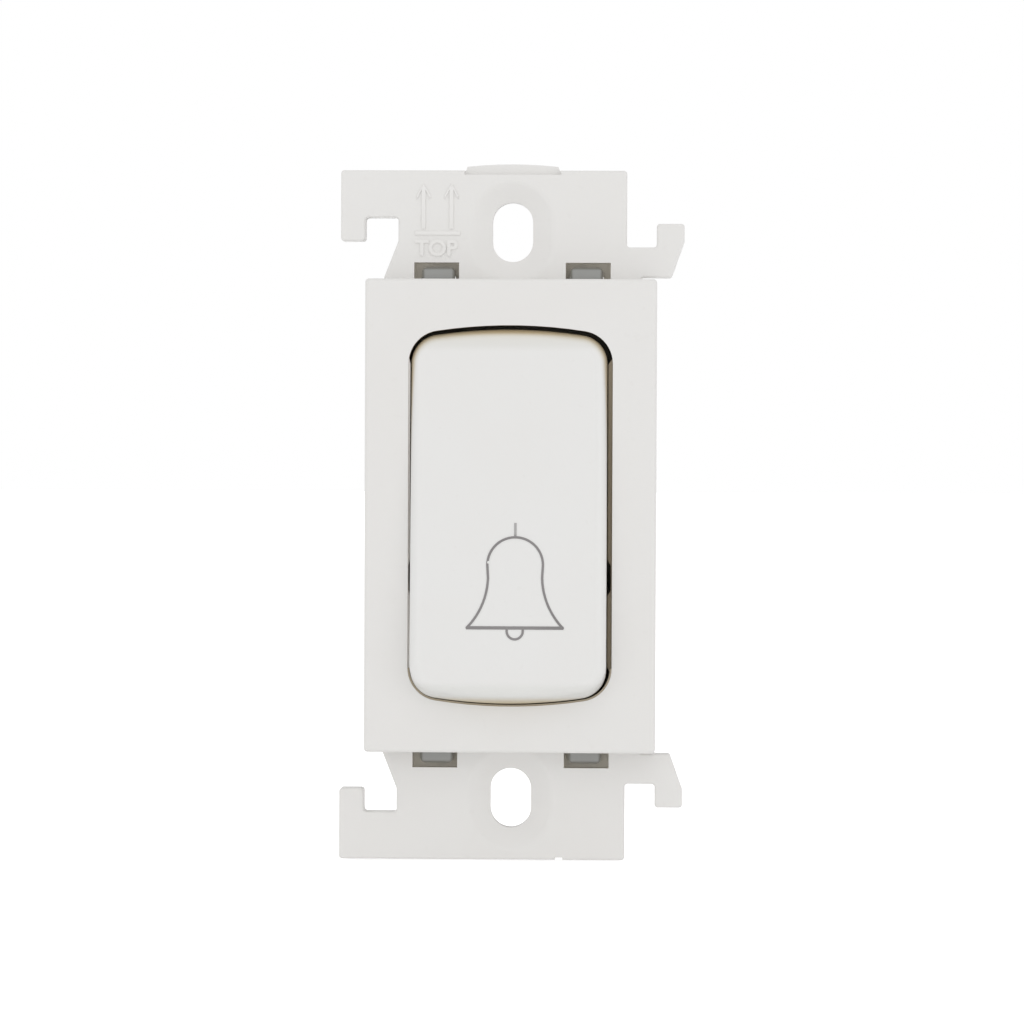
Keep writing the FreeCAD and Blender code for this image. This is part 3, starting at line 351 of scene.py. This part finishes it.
def raised_word(name, relief, level, depth):
    """The word that marks the upper edge, fitted to the bar above it."""
    size_to_height = 1.4
    deselect()
    bpy.ops.object.text_add(rotation=(math.pi / 2, 0, 0))
    piece = bpy.context.object
    piece.data.body = "TOP"
    piece.data.size = relief.word_tall * size_to_height
    piece.data.offset = relief.word_bold
    piece.data.extrude = depth / 2
    piece.data.resolution_u = 6
    bpy.ops.object.convert(target="MESH")
    piece = bpy.context.object
    settle(piece, name)
    low = Vector([min(v.co[i] for v in piece.data.vertices) for i in range(3)])
    high = Vector([max(v.co[i] for v in piece.data.vertices) for i in range(3)])
    broad = relief.word_right - relief.bar_left
    piece.scale = (broad / (high.x - low.x), 1, relief.word_tall / (high.z - low.z))
    piece.location = (relief.bar_left - low.x * piece.scale.x, level,
                      relief.word_low - low.z * piece.scale.z)
    settle(piece, name)
    return close_up(piece)


class PUSHBUTTON_OT_orientation_mark(bpy.types.Operator):
    """Raise the two arrows, the bar and the word on the upper left of the plate"""
    bl_idname = "push_button.orientation_mark"
    bl_label = "Orientation Mark"

    def execute(self, context):
        relief = settings().relief
        sink = 0.00006
        depth = relief.rise + sink
        level = PLATE_FRONT + sink - depth / 2
        parts = [
            raised_arrow("arrow_left", relief.left_arrow, relief, level, depth),
            raised_arrow("arrow_right", relief.right_arrow, relief, level, depth),
        ]
        half = relief.bar_broad / 2
        bar = flat_start("bar", relief.bar_left, relief.bar_right, relief.bar_level - half,
                         relief.bar_level + half, level)
        parts.append(thicken(bar, depth))
        parts.append(raised_word("word", relief, level, depth))
        deselect()
        for part in parts:
            part.select_set(True)
        context.view_layer.objects.active = parts[0]
        bpy.ops.object.join()
        mark = settle(context.object, "orientation_mark")
        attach(mark, "insert")
        return {"FINISHED"}


# Guide ribs

def guide_rib(name, wall, reach, sunk):
    """An upright rib along one side wall of the opening, with tapered ends and a notch."""
    ribs = settings().ribs
    taper = 0.0006
    thinned = 0.7
    rounding = 0.2
    half = ribs.tall / 2
    low, high = ribs.notch_at - ribs.notch, ribs.notch_at + ribs.notch
    deselect()
    middle = (wall - reach / 2, (sunk + ribs.back) / 2, 0)
    bpy.ops.mesh.primitive_cube_add(size=1, location=middle)
    piece = bpy.context.object
    piece.scale = (abs(reach), ribs.back - sunk, ribs.tall)
    settle(piece, name)
    bpy.ops.object.mode_set(mode="EDIT")
    for level in (low - taper, low, high, high + taper, taper - half, half - taper):
        bpy.ops.mesh.select_all(action="SELECT")
        bpy.ops.mesh.bisect(plane_co=(0, 0, level), plane_no=(0, 0, 1))
    free = wall - reach
    pick(piece, "VERT", lambda spot: abs(spot.x - free) < NEAR
         and (low - NEAR < spot.z < high + NEAR or abs(spot.z) > half - NEAR))
    bpy.ops.transform.translate(value=(reach * thinned, 0, 0))
    bpy.ops.object.mode_set(mode="OBJECT")
    soften_edges(piece, abs(reach) * rounding, 3)
    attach(piece, "insert")


def lower_lip(name):
    """A fine lip round the lower end of the opening, spun along its bowed end and both corners."""
    ribs = settings().ribs
    corner_steps = 14
    bow_steps = 20
    slack = 1e-5
    corner_across = ribs.wall - ribs.corner
    long_arm = ribs.bow - ribs.corner
    bow_level = ribs.bow - ribs.opening_low
    corner_level = bow_level - math.sqrt(long_arm ** 2 - corner_across ** 2)
    lean = math.asin(corner_across / long_arm)
    deselect()
    middle = (ribs.wall - ribs.lip / 2, (ribs.lip_front + ribs.lip_back) / 2, corner_level)
    bpy.ops.mesh.primitive_plane_add(size=1, location=middle)
    piece = bpy.context.object
    piece.scale = (ribs.lip, ribs.lip_back - ribs.lip_front, 1)
    settle(piece, name)
    bpy.ops.object.mode_set(mode="EDIT")
    bpy.ops.mesh.select_all(action="SELECT")
    turn = math.pi / 2 - lean
    for across, level, angle, steps in (
            (corner_across, corner_level, turn, corner_steps),
            (0, bow_level, 2 * lean, bow_steps),
            (-corner_across, corner_level, turn, corner_steps)):
        bpy.ops.mesh.spin(steps=steps, angle=-angle, center=(across, 0, level), axis=(0, 1, 0))
    bpy.ops.object.mode_set(mode="OBJECT")
    close_up(piece)
    lowest = min(v.co.z for v in piece.data.vertices)
    if abs(lowest + ribs.opening_low) > slack:
        raise RuntimeError(f"{name}: lowest point {lowest}")
    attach(piece, "insert")


class PUSHBUTTON_OT_guide_ribs(bpy.types.Operator):
    """Stand a guide rib on each side wall of the opening and a fine lip round its lower end"""
    bl_idname = "push_button.guide_ribs"
    bl_label = "Guide Ribs"

    def execute(self, context):
        ribs = settings().ribs
        guide_rib("guide_rib_right", ribs.wall, ribs.right_reach, ribs.right_front)
        guide_rib("guide_rib_left", -ribs.wall, -ribs.left_reach, ribs.left_front)
        lower_lip("lower_lip")
        return {"FINISHED"}


# Terminal screws

def grub_screw(name, node):
    """A slotted screw with thread crests, in the place of its plain stand-in."""
    screw = settings().screw
    plain_ends = 0.0006
    rim = 0.12
    outermost = 0.95
    chamfer = 0.1
    cutter_broad = 2.4
    low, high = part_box(node)
    middle = (low + high) / 2
    radius = (high.x - low.x) / 2
    threaded = high.y - low.y - plain_ends
    deselect()
    bpy.ops.mesh.primitive_cylinder_add(
        vertices=screw.sides, radius=radius, depth=high.y - low.y, location=middle,
        rotation=(math.pi / 2, 0, 0))
    piece = settle(bpy.context.object, name)
    bpy.ops.object.mode_set(mode="EDIT")
    rings = int(threaded / screw.pitch * 2)
    for ring in range(1, rings + 1):
        bpy.ops.mesh.select_all(action="SELECT")
        cut = low.y + plain_ends / 2 + threaded * ring / (rings + 1)
        bpy.ops.mesh.bisect(plane_co=(0, cut, 0), plane_no=(0, 1, 0))
        if ring % 2 == 0:
            shrink = 1 - screw.crest / radius
            bpy.ops.transform.resize(value=(shrink, 1, shrink), center_override=middle)
    pick(piece, "FACE", lambda spot: abs(spot.y - high.y) < NEAR)
    bpy.ops.mesh.inset(thickness=radius * rim)
    pick(piece, "VERT", lambda spot: abs(spot.y - high.y) < NEAR
         and math.hypot(spot.x - middle.x, spot.z - middle.z) > radius * outermost)
    bpy.ops.transform.translate(value=(0, -radius * chamfer, 0))
    bpy.ops.object.mode_set(mode="OBJECT")
    deselect()
    bpy.ops.mesh.primitive_cube_add(size=1, location=(middle.x, high.y, middle.z))
    cutter = bpy.context.object
    cutter.scale = (radius * cutter_broad, screw.slot_deep * 2, screw.slot_broad)
    settle(cutter, name + "_cutter")
    deselect()
    piece.select_set(True)
    bpy.context.view_layer.objects.active = piece
    slot = piece.modifiers.new("Slot", "BOOLEAN")
    slot.object = cutter
    slot.operation = "DIFFERENCE"
    slot.solver = "EXACT"
    apply_modifiers(piece)
    bpy.data.objects.remove(cutter)
    close_up(piece, angle=35)
    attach(piece, "insert")
    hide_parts(node)


class PUSHBUTTON_OT_terminal_screws(bpy.types.Operator):
    """Turn the two threaded terminal screws"""
    bl_idname = "push_button.terminal_screws"
    bl_label = "Terminal Screws"

    def execute(self, context):
        for side in ("left", "right"):
            grub_screw(f"threaded_screw_{side}", f"terminal_screw_{side}")
        return {"FINISHED"}


# Springs

def yielding_coil(name, node, body):
    """A smoothed copy of a coil in the place of its stand-in, hung on the body that carries it."""
    deselect()
    piece = bpy.data.objects.new(name, NODES[node].data.copy())
    bpy.context.collection.objects.link(piece)
    piece.select_set(True)
    bpy.context.view_layer.objects.active = piece
    close_up(piece, angle=60)
    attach(piece, body)
    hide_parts(node)
    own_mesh(piece)


class PUSHBUTTON_OT_springs(bpy.types.Operator):
    """Seat the return spring and the overtravel spring on the bodies that carry them"""
    bl_idname = "push_button.springs"
    bl_label = "Springs"

    def execute(self, context):
        yielding_coil("return_coil", "return_spring", "insert")
        yielding_coil("overtravel_coil", "overtravel_spring", "plunger")
        return {"FINISHED"}


# Shared effects

def new_group(name, inputs, outputs):
    """A shader node group with its input and output nodes."""
    group = bpy.data.node_groups.new(name, "ShaderNodeTree")
    for label, kind, default in inputs:
        socket = group.interface.new_socket(name=label, in_out="INPUT", socket_type=kind)
        if default is not None:
            socket.default_value = default
    for label, kind in outputs:
        group.interface.new_socket(name=label, in_out="OUTPUT", socket_type=kind)
    source = group.nodes.new("NodeGroupInput")
    target = group.nodes.new("NodeGroupOutput")
    return group, source, target


def place(tree, kind, **values):
    """Add a node and set its options, and its input sockets by name."""
    node = tree.nodes.new(kind)
    for key, value in values.items():
        if hasattr(node, key):
            setattr(node, key, value)
        else:
            node.inputs[key.replace("_", " ")].default_value = value
    return node


def maths(tree, operation, first, second=None, clamp=False):
    """A math node fed by sockets or plain numbers."""
    node = tree.nodes.new("ShaderNodeMath")
    node.operation = operation
    node.use_clamp = clamp
    for slot, value in enumerate((first, second)):
        if value is None:
            continue
        if isinstance(value, (int, float)):
            node.inputs[slot].default_value = value
        else:
            tree.links.new(value, node.inputs[slot])
    return node.outputs[0]


def ramp(tree, value, low, high, out_low=0.0, out_high=1.0):
    """Map a value smoothly from one range to another."""
    node = tree.nodes.new("ShaderNodeMapRange")
    node.interpolation_type = "SMOOTHSTEP"
    tree.links.new(value, node.inputs["Value"])
    for label, number in (("From Min", low), ("From Max", high),
                          ("To Min", out_low), ("To Max", out_high)):
        node.inputs[label].default_value = number
    return node.outputs["Result"]


def moulded_grain():
    """Fine spark-eroded grain with a slow drift of tone, as on moulded plastic."""
    group, source, target = new_group(
        "Moulded Grain",
        [("Vector", "NodeSocketVector", None), ("Grain Scale", "NodeSocketFloat", 9000.0),
         ("Drift Scale", "NodeSocketFloat", 60.0)],
        [("Height", "NodeSocketFloat"), ("Tone", "NodeSocketFloat"),
         ("Speckle", "NodeSocketFloat")])
    pit_size = 0.55
    speck_size = 0.12
    fine_share = 0.6
    pit_share = 0.4
    links = group.links
    fine = place(group, "ShaderNodeTexNoise", Detail=3.0, Roughness=0.6)
    links.new(source.outputs["Vector"], fine.inputs["Vector"])
    links.new(source.outputs["Grain Scale"], fine.inputs["Scale"])
    pits = place(group, "ShaderNodeTexVoronoi", feature="SMOOTH_F1", Smoothness=0.6)
    links.new(source.outputs["Vector"], pits.inputs["Vector"])
    scale = maths(group, "MULTIPLY", source.outputs["Grain Scale"], pit_size)
    links.new(scale, pits.inputs["Scale"])
    height = maths(group, "ADD", maths(group, "MULTIPLY", fine.outputs["Fac"], fine_share),
                   maths(group, "MULTIPLY", pits.outputs["Distance"], pit_share))
    links.new(height, target.inputs["Height"])
    drift = place(group, "ShaderNodeTexNoise", Detail=2.0, Roughness=0.5, Distortion=0.8)
    links.new(source.outputs["Vector"], drift.inputs["Vector"])
    links.new(source.outputs["Drift Scale"], drift.inputs["Scale"])
    links.new(ramp(group, drift.outputs["Fac"], low=0.3, high=0.7), target.inputs["Tone"])
    specks = place(group, "ShaderNodeTexNoise", Detail=1.0, Roughness=0.4)
    links.new(source.outputs["Vector"], specks.inputs["Vector"])
    scale = maths(group, "MULTIPLY", source.outputs["Grain Scale"], speck_size)
    links.new(scale, specks.inputs["Scale"])
    speckle = ramp(group, specks.outputs["Fac"], low=0.68, high=0.8)
    links.new(speckle, target.inputs["Speckle"])
    return group


def fine_scuffs():
    """Hair-fine scuffs and rubbed patches from handling."""
    group, source, target = new_group(
        "Fine Scuffs",
        [("Vector", "NodeSocketVector", None), ("Scale", "NodeSocketFloat", 300.0),
         ("Amount", "NodeSocketFloat", 0.5)],
        [("Mask", "NodeSocketFloat"), ("Height", "NodeSocketFloat")])
    links = group.links
    masks = []
    for turn, stretch in ((0.35, 14.0), (-0.9, 18.0)):
        lay = place(group, "ShaderNodeMapping")
        lay.inputs["Rotation"].default_value = (0.0, turn, 0.0)
        lay.inputs["Scale"].default_value = (1.0, 1.0, stretch)
        links.new(source.outputs["Vector"], lay.inputs["Vector"])
        hairs = place(group, "ShaderNodeTexNoise", Detail=2.0, Roughness=0.5, Distortion=0.3)
        links.new(lay.outputs["Vector"], hairs.inputs["Vector"])
        links.new(source.outputs["Scale"], hairs.inputs["Scale"])
        masks.append(ramp(group, hairs.outputs["Fac"], low=0.66, high=0.74))
    both = maths(group, "MAXIMUM", masks[0], masks[1])
    mask = maths(group, "MULTIPLY", both, source.outputs["Amount"], clamp=True)
    links.new(mask, target.inputs["Mask"])
    links.new(maths(group, "SUBTRACT", 1.0, mask), target.inputs["Height"])
    return group


def worked_metal():
    """Drawn or rolled lines and light tarnish on metal."""
    group, source, target = new_group(
        "Worked Metal",
        [("Vector", "NodeSocketVector", None), ("Scale", "NodeSocketFloat", 900.0),
         ("Tarnish Scale", "NodeSocketFloat", 450.0)],
        [("Lines", "NodeSocketFloat"), ("Tarnish", "NodeSocketFloat")])
    links = group.links
    lay = place(group, "ShaderNodeMapping")
    lay.inputs["Scale"].default_value = (9.0, 1.0, 0.6)
    links.new(source.outputs["Vector"], lay.inputs["Vector"])
    lines = place(group, "ShaderNodeTexNoise", Detail=4.0, Roughness=0.7)
    links.new(lay.outputs["Vector"], lines.inputs["Vector"])
    links.new(source.outputs["Scale"], lines.inputs["Scale"])
    links.new(lines.outputs["Fac"], target.inputs["Lines"])
    patches = place(group, "ShaderNodeTexNoise", Detail=5.0, Roughness=0.62, Distortion=1.2)
    links.new(source.outputs["Vector"], patches.inputs["Vector"])
    links.new(source.outputs["Tarnish Scale"], patches.inputs["Scale"])
    tarnish = ramp(group, patches.outputs["Fac"], low=0.42, high=0.66)
    links.new(tarnish, target.inputs["Tarnish"])
    return group


def shared(name, build):
    """The node group of that name, built once."""
    return bpy.data.node_groups.get(name) or build()


# Materials

def start_material(name):
    """A material with only its output, shader and object coordinates."""
    material = bpy.data.materials.new(name)
    material.use_nodes = True
    tree = material.node_tree
    tree.nodes.clear()
    output = tree.nodes.new("ShaderNodeOutputMaterial")
    shader = tree.nodes.new("ShaderNodeBsdfPrincipled")
    tree.links.new(shader.outputs["BSDF"], output.inputs["Surface"])
    coordinates = tree.nodes.new("ShaderNodeTexCoord")
    return material, tree, shader, coordinates.outputs["Object"]


def use_group(tree, group, vector, **values):
    """Place a shared effect with its own values."""
    node = tree.nodes.new("ShaderNodeGroup")
    node.node_tree = group
    tree.links.new(vector, node.inputs["Vector"])
    for key, value in values.items():
        node.inputs[key.replace("_", " ")].default_value = value
    return node


def tint(tree, factor, first, second, blend="MIX"):
    """Mix two colours by a factor; either may be a socket."""
    node = tree.nodes.new("ShaderNodeMix")
    node.data_type = "RGBA"
    node.blend_type = blend
    tree.links.new(factor, node.inputs["Factor"])
    for slot, value in ((MIX_FIRST, first), (MIX_SECOND, second)):
        if hasattr(value, "is_output"):
            tree.links.new(value, node.inputs[slot])
        else:
            node.inputs[slot].default_value = (*value, 1.0)
    return node.outputs[MIX_RESULT]


def shade(base, factor, warm=0.0):
    """A lighter or darker neighbour of a colour."""
    red, green, blue = (min(1.0, part * factor) for part in base)
    return (min(1.0, red * (1 + warm)), green, blue * (1 - warm))


def bump(tree, shader, height, strength, distance):
    """Feed a height to the shader's normal."""
    node = tree.nodes.new("ShaderNodeBump")
    node.inputs["Strength"].default_value = strength
    node.inputs["Distance"].default_value = distance
    tree.links.new(height, node.inputs["Height"])
    tree.links.new(node.outputs["Normal"], shader.inputs["Normal"])


def inside_box(tree, spot, low, high, soft):
    """One inside a box mirrored left to right and top to bottom, nought outside it."""
    axes = tree.nodes.new("ShaderNodeSeparateXYZ")
    tree.links.new(spot, axes.inputs["Vector"])
    sides = (maths(tree, "ABSOLUTE", axes.outputs["X"]), axes.outputs["Y"],
             maths(tree, "ABSOLUTE", axes.outputs["Z"]))
    inside = None
    for side, near, far in zip(sides, low, high):
        for factor in (ramp(tree, side, near - soft, near),
                       ramp(tree, side, far, far + soft, 1.0, 0.0)):
            inside = factor if inside is None else maths(tree, "MULTIPLY", inside, factor)
    return inside


def paint_recess_shade(tree, shader, spot, places):
    """Paint shade into sunk places: darker, warmer tones that stand in for shadow and warm bounced
    light.
    """
    surface = shader.inputs["Base Color"].links[0].from_socket
    for place_name, tone in places:
        low, high, soft = PAINTED_SHADE_BOXES[place_name]
        inside = inside_box(tree, spot, low, high, soft)
        surface = tint(tree, inside, surface, tuple(tone), "MULTIPLY")
    tree.links.new(surface, shader.inputs["Base Color"])


def plastic(name, base, roughness, grain=9000.0, relief=0.000004, scuffs=0.35, drift=0.985):
    """Moulded plastic: grain, slow drift of tone, specks and fine scuffs."""
    speck_share = 0.25
    scuff_share = 0.3
    grain_dulls = 0.12
    scuff_shines = -0.08
    scuff_height = 0.3
    material, tree, shader, spot = start_material(name)
    grained = use_group(tree, shared("Moulded Grain", moulded_grain), spot, Grain_Scale=grain)
    rubbed = use_group(tree, shared("Fine Scuffs", fine_scuffs), spot, Amount=scuffs)
    body = tint(tree, grained.outputs["Tone"], shade(base, drift, warm=0.004), base)
    specks = maths(tree, "MULTIPLY", grained.outputs["Speckle"], speck_share)
    speckled = tint(tree, specks, body, shade(base, 0.93, warm=0.01))
    scuffed = maths(tree, "MULTIPLY", rubbed.outputs["Mask"], scuff_share)
    tree.links.new(tint(tree, scuffed, speckled, shade(base, 1.03)), shader.inputs["Base Color"])
    dull = maths(tree, "MULTIPLY", grained.outputs["Height"], grain_dulls)
    dull = maths(tree, "ADD", dull, roughness - grain_dulls / 2)
    shine = maths(tree, "MULTIPLY", rubbed.outputs["Mask"], scuff_shines)
    tree.links.new(maths(tree, "ADD", dull, shine, clamp=True), shader.inputs["Roughness"])
    shader.inputs["IOR"].default_value = 1.49
    height = maths(tree, "ADD", grained.outputs["Height"],
                   maths(tree, "MULTIPLY", rubbed.outputs["Height"], scuff_height))
    bump(tree, shader, height, strength=0.6, distance=relief)
    return material, tree, shader, spot


def metal(name, base, roughness, tarnish, dull_tone, lines=900.0):
    """Metal with worked lines and light tarnish."""
    lines_dull = 0.16
    tarnish_dulls = 0.25
    material, tree, shader, spot = start_material(name)
    worked = use_group(tree, shared("Worked Metal", worked_metal), spot, Scale=lines)
    amount = maths(tree, "MULTIPLY", worked.outputs["Tarnish"], tarnish)
    tree.links.new(tint(tree, amount, base, dull_tone), shader.inputs["Base Color"])
    rough = maths(tree, "MULTIPLY", worked.outputs["Lines"], lines_dull)
    rough = maths(tree, "ADD", rough, roughness - lines_dull / 2)
    duller = maths(tree, "MULTIPLY", amount, tarnish_dulls)
    tree.links.new(maths(tree, "ADD", rough, duller, clamp=True), shader.inputs["Roughness"])
    shader.inputs["Metallic"].default_value = 1.0
    bump(tree, shader, worked.outputs["Lines"], strength=0.35, distance=0.000003)
    return material


def printed_ink(base, under):
    """Pad-printed ink with one short break in its line and a stem worn thin at its top."""
    break_place = (-0.00216, -0.00891, -0.00483)
    break_from = 0.00011
    break_to = 0.0002
    worn_from = -0.0022
    worn_to = -0.0018
    worn_share = 0.3
    material, tree, shader, spot = start_material("Printed Grey")
    grained = use_group(tree, shared("Moulded Grain", moulded_grain), spot, Grain_Scale=12000.0)
    flat = tint(tree, grained.outputs["Tone"], base, shade(base, 1.25))
    away = tree.nodes.new("ShaderNodeVectorMath")
    away.operation = "DISTANCE"
    away.inputs[1].default_value = break_place
    tree.links.new(spot, away.inputs[0])
    broken = ramp(tree, away.outputs["Value"], break_from, break_to, 1.0, 0.0)
    axes = tree.nodes.new("ShaderNodeSeparateXYZ")
    tree.links.new(spot, axes.inputs["Vector"])
    worn = ramp(tree, axes.outputs["Z"], worn_from, worn_to, 0.0, worn_share)
    bare = maths(tree, "MAXIMUM", broken, worn)
    tree.links.new(tint(tree, bare, flat, under), shader.inputs["Base Color"])
    shader.inputs["Roughness"].default_value = 0.55
    bump(tree, shader, grained.outputs["Height"], strength=0.4, distance=0.000003)
    return material


def finish(names, material):
    """Give these parts a material."""
    for name in names:
        piece = NODES.get(name) or bpy.data.objects[name]
        piece.data.materials.clear()
        piece.data.materials.append(material)


class PUSHBUTTON_OT_plastics(bpy.types.Operator):
    """Finish the moulded parts and the printed bell, with painted shade in sunk places and a
    painted highlight on the raised marks
    """
    bl_idname = "push_button.plastics"
    bl_label = "Plastic Finishes"

    def execute(self, context):
        colours = settings().colours
        cream = tuple(colours.frame_white)
        white = tuple(colours.rocker_white)
        frame_finish, tree, shader, spot = plastic("Satin White Frame", cream, roughness=0.48)
        # Painted shade: the catch windows' walls are warmed and the inside of the opening is
        # darkened and warmed, as painted shadow and painted warm reflection
        paint_recess_shade(tree, shader, spot, (
            ("window", colours.window_shade_tint), ("opening", colours.opening_shade_tint)))
        finish(["front_frame", "guide_rib_right", "lower_lip"], frame_finish)
        # Painted highlight: the raised marks and the left rib get a lighter copy of the frame
        # white, as if lit; their lower roughness is the real finish
        raised_lit_finish = plastic("Raised White Painted Highlight", shade(cream, 1.025), roughness=0.44)[0]
        finish(["orientation_mark", "guide_rib_left"], raised_lit_finish)
        rocker_finish, tree, shader, spot = plastic(
            "Smooth White Rocker", white, roughness=0.36, grain=14000.0, relief=0.0000015,
            scuffs=0.2, drift=0.99)
        # Painted shade: the rocker's sunk flanks, its lower rounding and its lower flank are
        # darkened and warmed in place of shadow
        paint_recess_shade(tree, shader, spot, (
            ("sunk flank", colours.flank_shade_tint), ("lower round", colours.lower_round_shade_tint),
            ("lower flank", colours.flank_shade_tint)))
        finish(["rocker"], rocker_finish)
        finish(["bell_mark"], printed_ink(tuple(colours.print_grey), white))
        housing_finish, tree, shader, spot = plastic(
            "Grey Housing", tuple(colours.housing_grey), roughness=0.5, grain=7000.0,
            relief=0.000006, drift=0.94)
        # Painted shadow round the catches' edges and painted shade in the housing's well
        paint_recess_shade(tree, shader, spot, (
            ("inner edge", colours.catch_edge_shadow_tint), ("outer edge", colours.catch_edge_shadow_tint),
            ("nose edge", colours.catch_edge_shadow_tint), ("well", colours.opening_shade_tint)))
        finish(["rear_housing", "contact_cover"], housing_finish)
        plunger_finish = plastic(
            "Natural Plunger", tuple(colours.natural), roughness=0.42, drift=0.95)[0]
        finish(["plunger"], plunger_finish)
        return {"FINISHED"}


class PUSHBUTTON_OT_metals(bpy.types.Operator):
    """Finish the contacts, terminals, screws and springs"""
    bl_idname = "push_button.metals"
    bl_label = "Metal Finishes"

    def execute(self, context):
        colours = settings().colours
        brass = metal("Stamped Brass", tuple(colours.brass), roughness=0.3, tarnish=0.5,
                      dull_tone=(0.45, 0.3, 0.14))
        finish(["contact_bridge", "fixed_strip_left", "fixed_strip_right", "terminal_block_left",
                "terminal_block_right"], brass)
        silver = metal("Contact Silver", tuple(colours.silver), roughness=0.18, tarnish=0.25,
                       dull_tone=(0.6, 0.56, 0.5))
        finish(["contact_tip_left", "contact_tip_right", "fixed_contact_left",
                "fixed_contact_right"], silver)
        steel = metal("Drawn Steel", tuple(colours.steel), roughness=0.26, tarnish=0.3,
                      dull_tone=(0.33, 0.32, 0.31), lines=2400.0)
        finish(["overtravel_spring", "return_spring", "return_coil", "overtravel_coil"], steel)
        zinc = metal("Zinc Plating", tuple(colours.zinc), roughness=0.32, tarnish=0.45,
                     dull_tone=(0.5, 0.49, 0.44), lines=1600.0)
        finish(["cover_screw_upper", "cover_screw_lower", "terminal_screw_left",
                "terminal_screw_right", "threaded_screw_left", "threaded_screw_right"], zinc)
        return {"FINISHED"}


# Studio

def white_where_seen(tree, strength):
    """A socket with the strength for rays that show the background, and nought otherwise."""
    path = tree.nodes.new("ShaderNodeLightPath")
    seen = maths(tree, "MAXIMUM", path.outputs["Is Camera Ray"], path.outputs["Is Glossy Ray"])
    seen = maths(tree, "MAXIMUM", seen, path.outputs["Is Transmission Ray"])
    return maths(tree, "MULTIPLY", seen, strength)


def soft_light(name, spot, size, power):
    """A large soft panel that faces the middle of the plate."""
    bpy.ops.object.light_add(type="AREA", location=spot)
    lamp = bpy.context.object
    lamp.name = name
    lamp.data.shape = "SQUARE"
    lamp.data.size = size
    lamp.data.energy = power
    lamp.rotation_euler = (-Vector(spot)).to_track_quat("-Z", "Y").to_euler()


def pale_floor(glow_all):
    """A wide pale floor that shows white and keeps the soft shadow."""
    below = 0.0002
    glow_seen = 0.55
    deselect()
    bpy.ops.mesh.primitive_plane_add(size=8, location=(0, 0, CAD_LOW.z - below))
    floor = settle(bpy.context.object, "floor")
    material, tree, shader, _ = start_material("Pale Floor")
    shader.inputs["Base Color"].default_value = (0.86, 0.86, 0.86, 1.0)
    shader.inputs["Roughness"].default_value = 0.9
    shader.inputs["Emission Color"].default_value = (1.0, 1.0, 1.0, 1.0)
    glow = maths(tree, "ADD", white_where_seen(tree, glow_seen), glow_all)
    tree.links.new(glow, shader.inputs["Emission Strength"])
    floor.data.materials.append(material)


def white_surround(strength):
    """A surround that lights evenly and shows pure white behind the object."""
    world = bpy.data.worlds.new("White Surround")
    bpy.context.scene.world = world
    world.use_nodes = True
    tree = world.node_tree
    backdrop = tree.nodes["Background"]
    backdrop.inputs["Color"].default_value = (1.0, 1.0, 1.0, 1.0)
    shown = maths(tree, "ADD", white_where_seen(tree, 1.0 - strength), strength)
    tree.links.new(shown, backdrop.inputs["Strength"])


class PUSHBUTTON_OT_studio(bpy.types.Operator):
    """Set the floor, the surround, the soft lights and the camera"""
    bl_idname = "push_button.studio"
    bl_label = "Studio"

    def execute(self, context):
        studio = settings().studio
        context.scene.view_settings.view_transform = "Standard"
        pale_floor(studio.floor_glow)
        white_surround(studio.sky)
        deselect()
        soft_light("upper_light", (0.05, -0.75, 0.75), size=0.9, power=studio.key)
        soft_light("left_light", (-0.6, -0.8, 0.06), size=0.7, power=studio.fill)
        soft_light("right_light", (0.75, -0.6, 0.06), size=0.5,
                   power=studio.fill * studio.right_share)
        target = Vector((studio.aim_across, PLATE_FRONT, studio.aim_up))
        level = math.cos(studio.rise)
        back = Vector((math.sin(studio.turn) * level, -math.cos(studio.turn) * level,
                       math.sin(studio.rise)))
        bpy.ops.object.camera_add(location=target + back * studio.distance)
        camera = context.object
        camera.name = "camera"
        face = (-back).to_track_quat("-Z", "Y").to_matrix()
        camera.rotation_euler = (face @ Matrix.Rotation(studio.roll, 3, "Z")).to_euler()
        camera.data.lens = studio.focal
        camera.data.sensor_width = 36.0
        camera.data.clip_start = 0.01
        camera.data.clip_end = 50.0
        context.scene.camera = camera
        return {"FINISHED"}


# Sidebar and registration

class PUSHBUTTON_PT_sidebar(bpy.types.Panel):
    """The steps and values of the push button"""
    bl_idname = "PUSHBUTTON_PT_sidebar"
    bl_label = "Push Button"
    bl_space_type = "VIEW_3D"
    bl_region_type = "UI"
    bl_category = "Push Button"

    def draw(self, context):
        values = settings()
        for title, group in (("Colours", values.colours), ("Raised marks", values.relief),
                             ("Guide ribs", values.ribs), ("Terminal screws", values.screw),
                             ("Springs", values.springs), ("Studio", values.studio)):
            box = self.layout.box()
            box.label(text=title)
            for name in type(group).__annotations__:
                box.prop(group, name)
        for step in STEPS:
            self.layout.operator(step.bl_idname)


STEPS = (
    PUSHBUTTON_OT_orientation_mark,
    PUSHBUTTON_OT_guide_ribs,
    PUSHBUTTON_OT_terminal_screws,
    PUSHBUTTON_OT_springs,
    PUSHBUTTON_OT_plastics,
    PUSHBUTTON_OT_metals,
    PUSHBUTTON_OT_studio,
)
CLASSES = (
    PushButtonColours,
    PushButtonRelief,
    PushButtonRibs,
    PushButtonScrew,
    PushButtonSprings,
    PushButtonStudio,
    PushButtonSettings,
    *STEPS,
    PUSHBUTTON_PT_sidebar,
)


def register():
    for item in CLASSES:
        bpy.utils.register_class(item)
    bpy.types.Scene.push_button = PointerProperty(type=PushButtonSettings)


def unregister():
    del bpy.types.Scene.push_button
    for item in reversed(CLASSES):
        bpy.utils.unregister_class(item)


def main():
    """Run every step in its order."""
    register()
    bpy.ops.push_button.orientation_mark()
    bpy.ops.push_button.guide_ribs()
    bpy.ops.push_button.terminal_screws()
    bpy.ops.push_button.springs()
    bpy.ops.push_button.plastics()
    bpy.ops.push_button.metals()
    bpy.ops.push_button.studio()


if __name__ == "__main__":
    main()
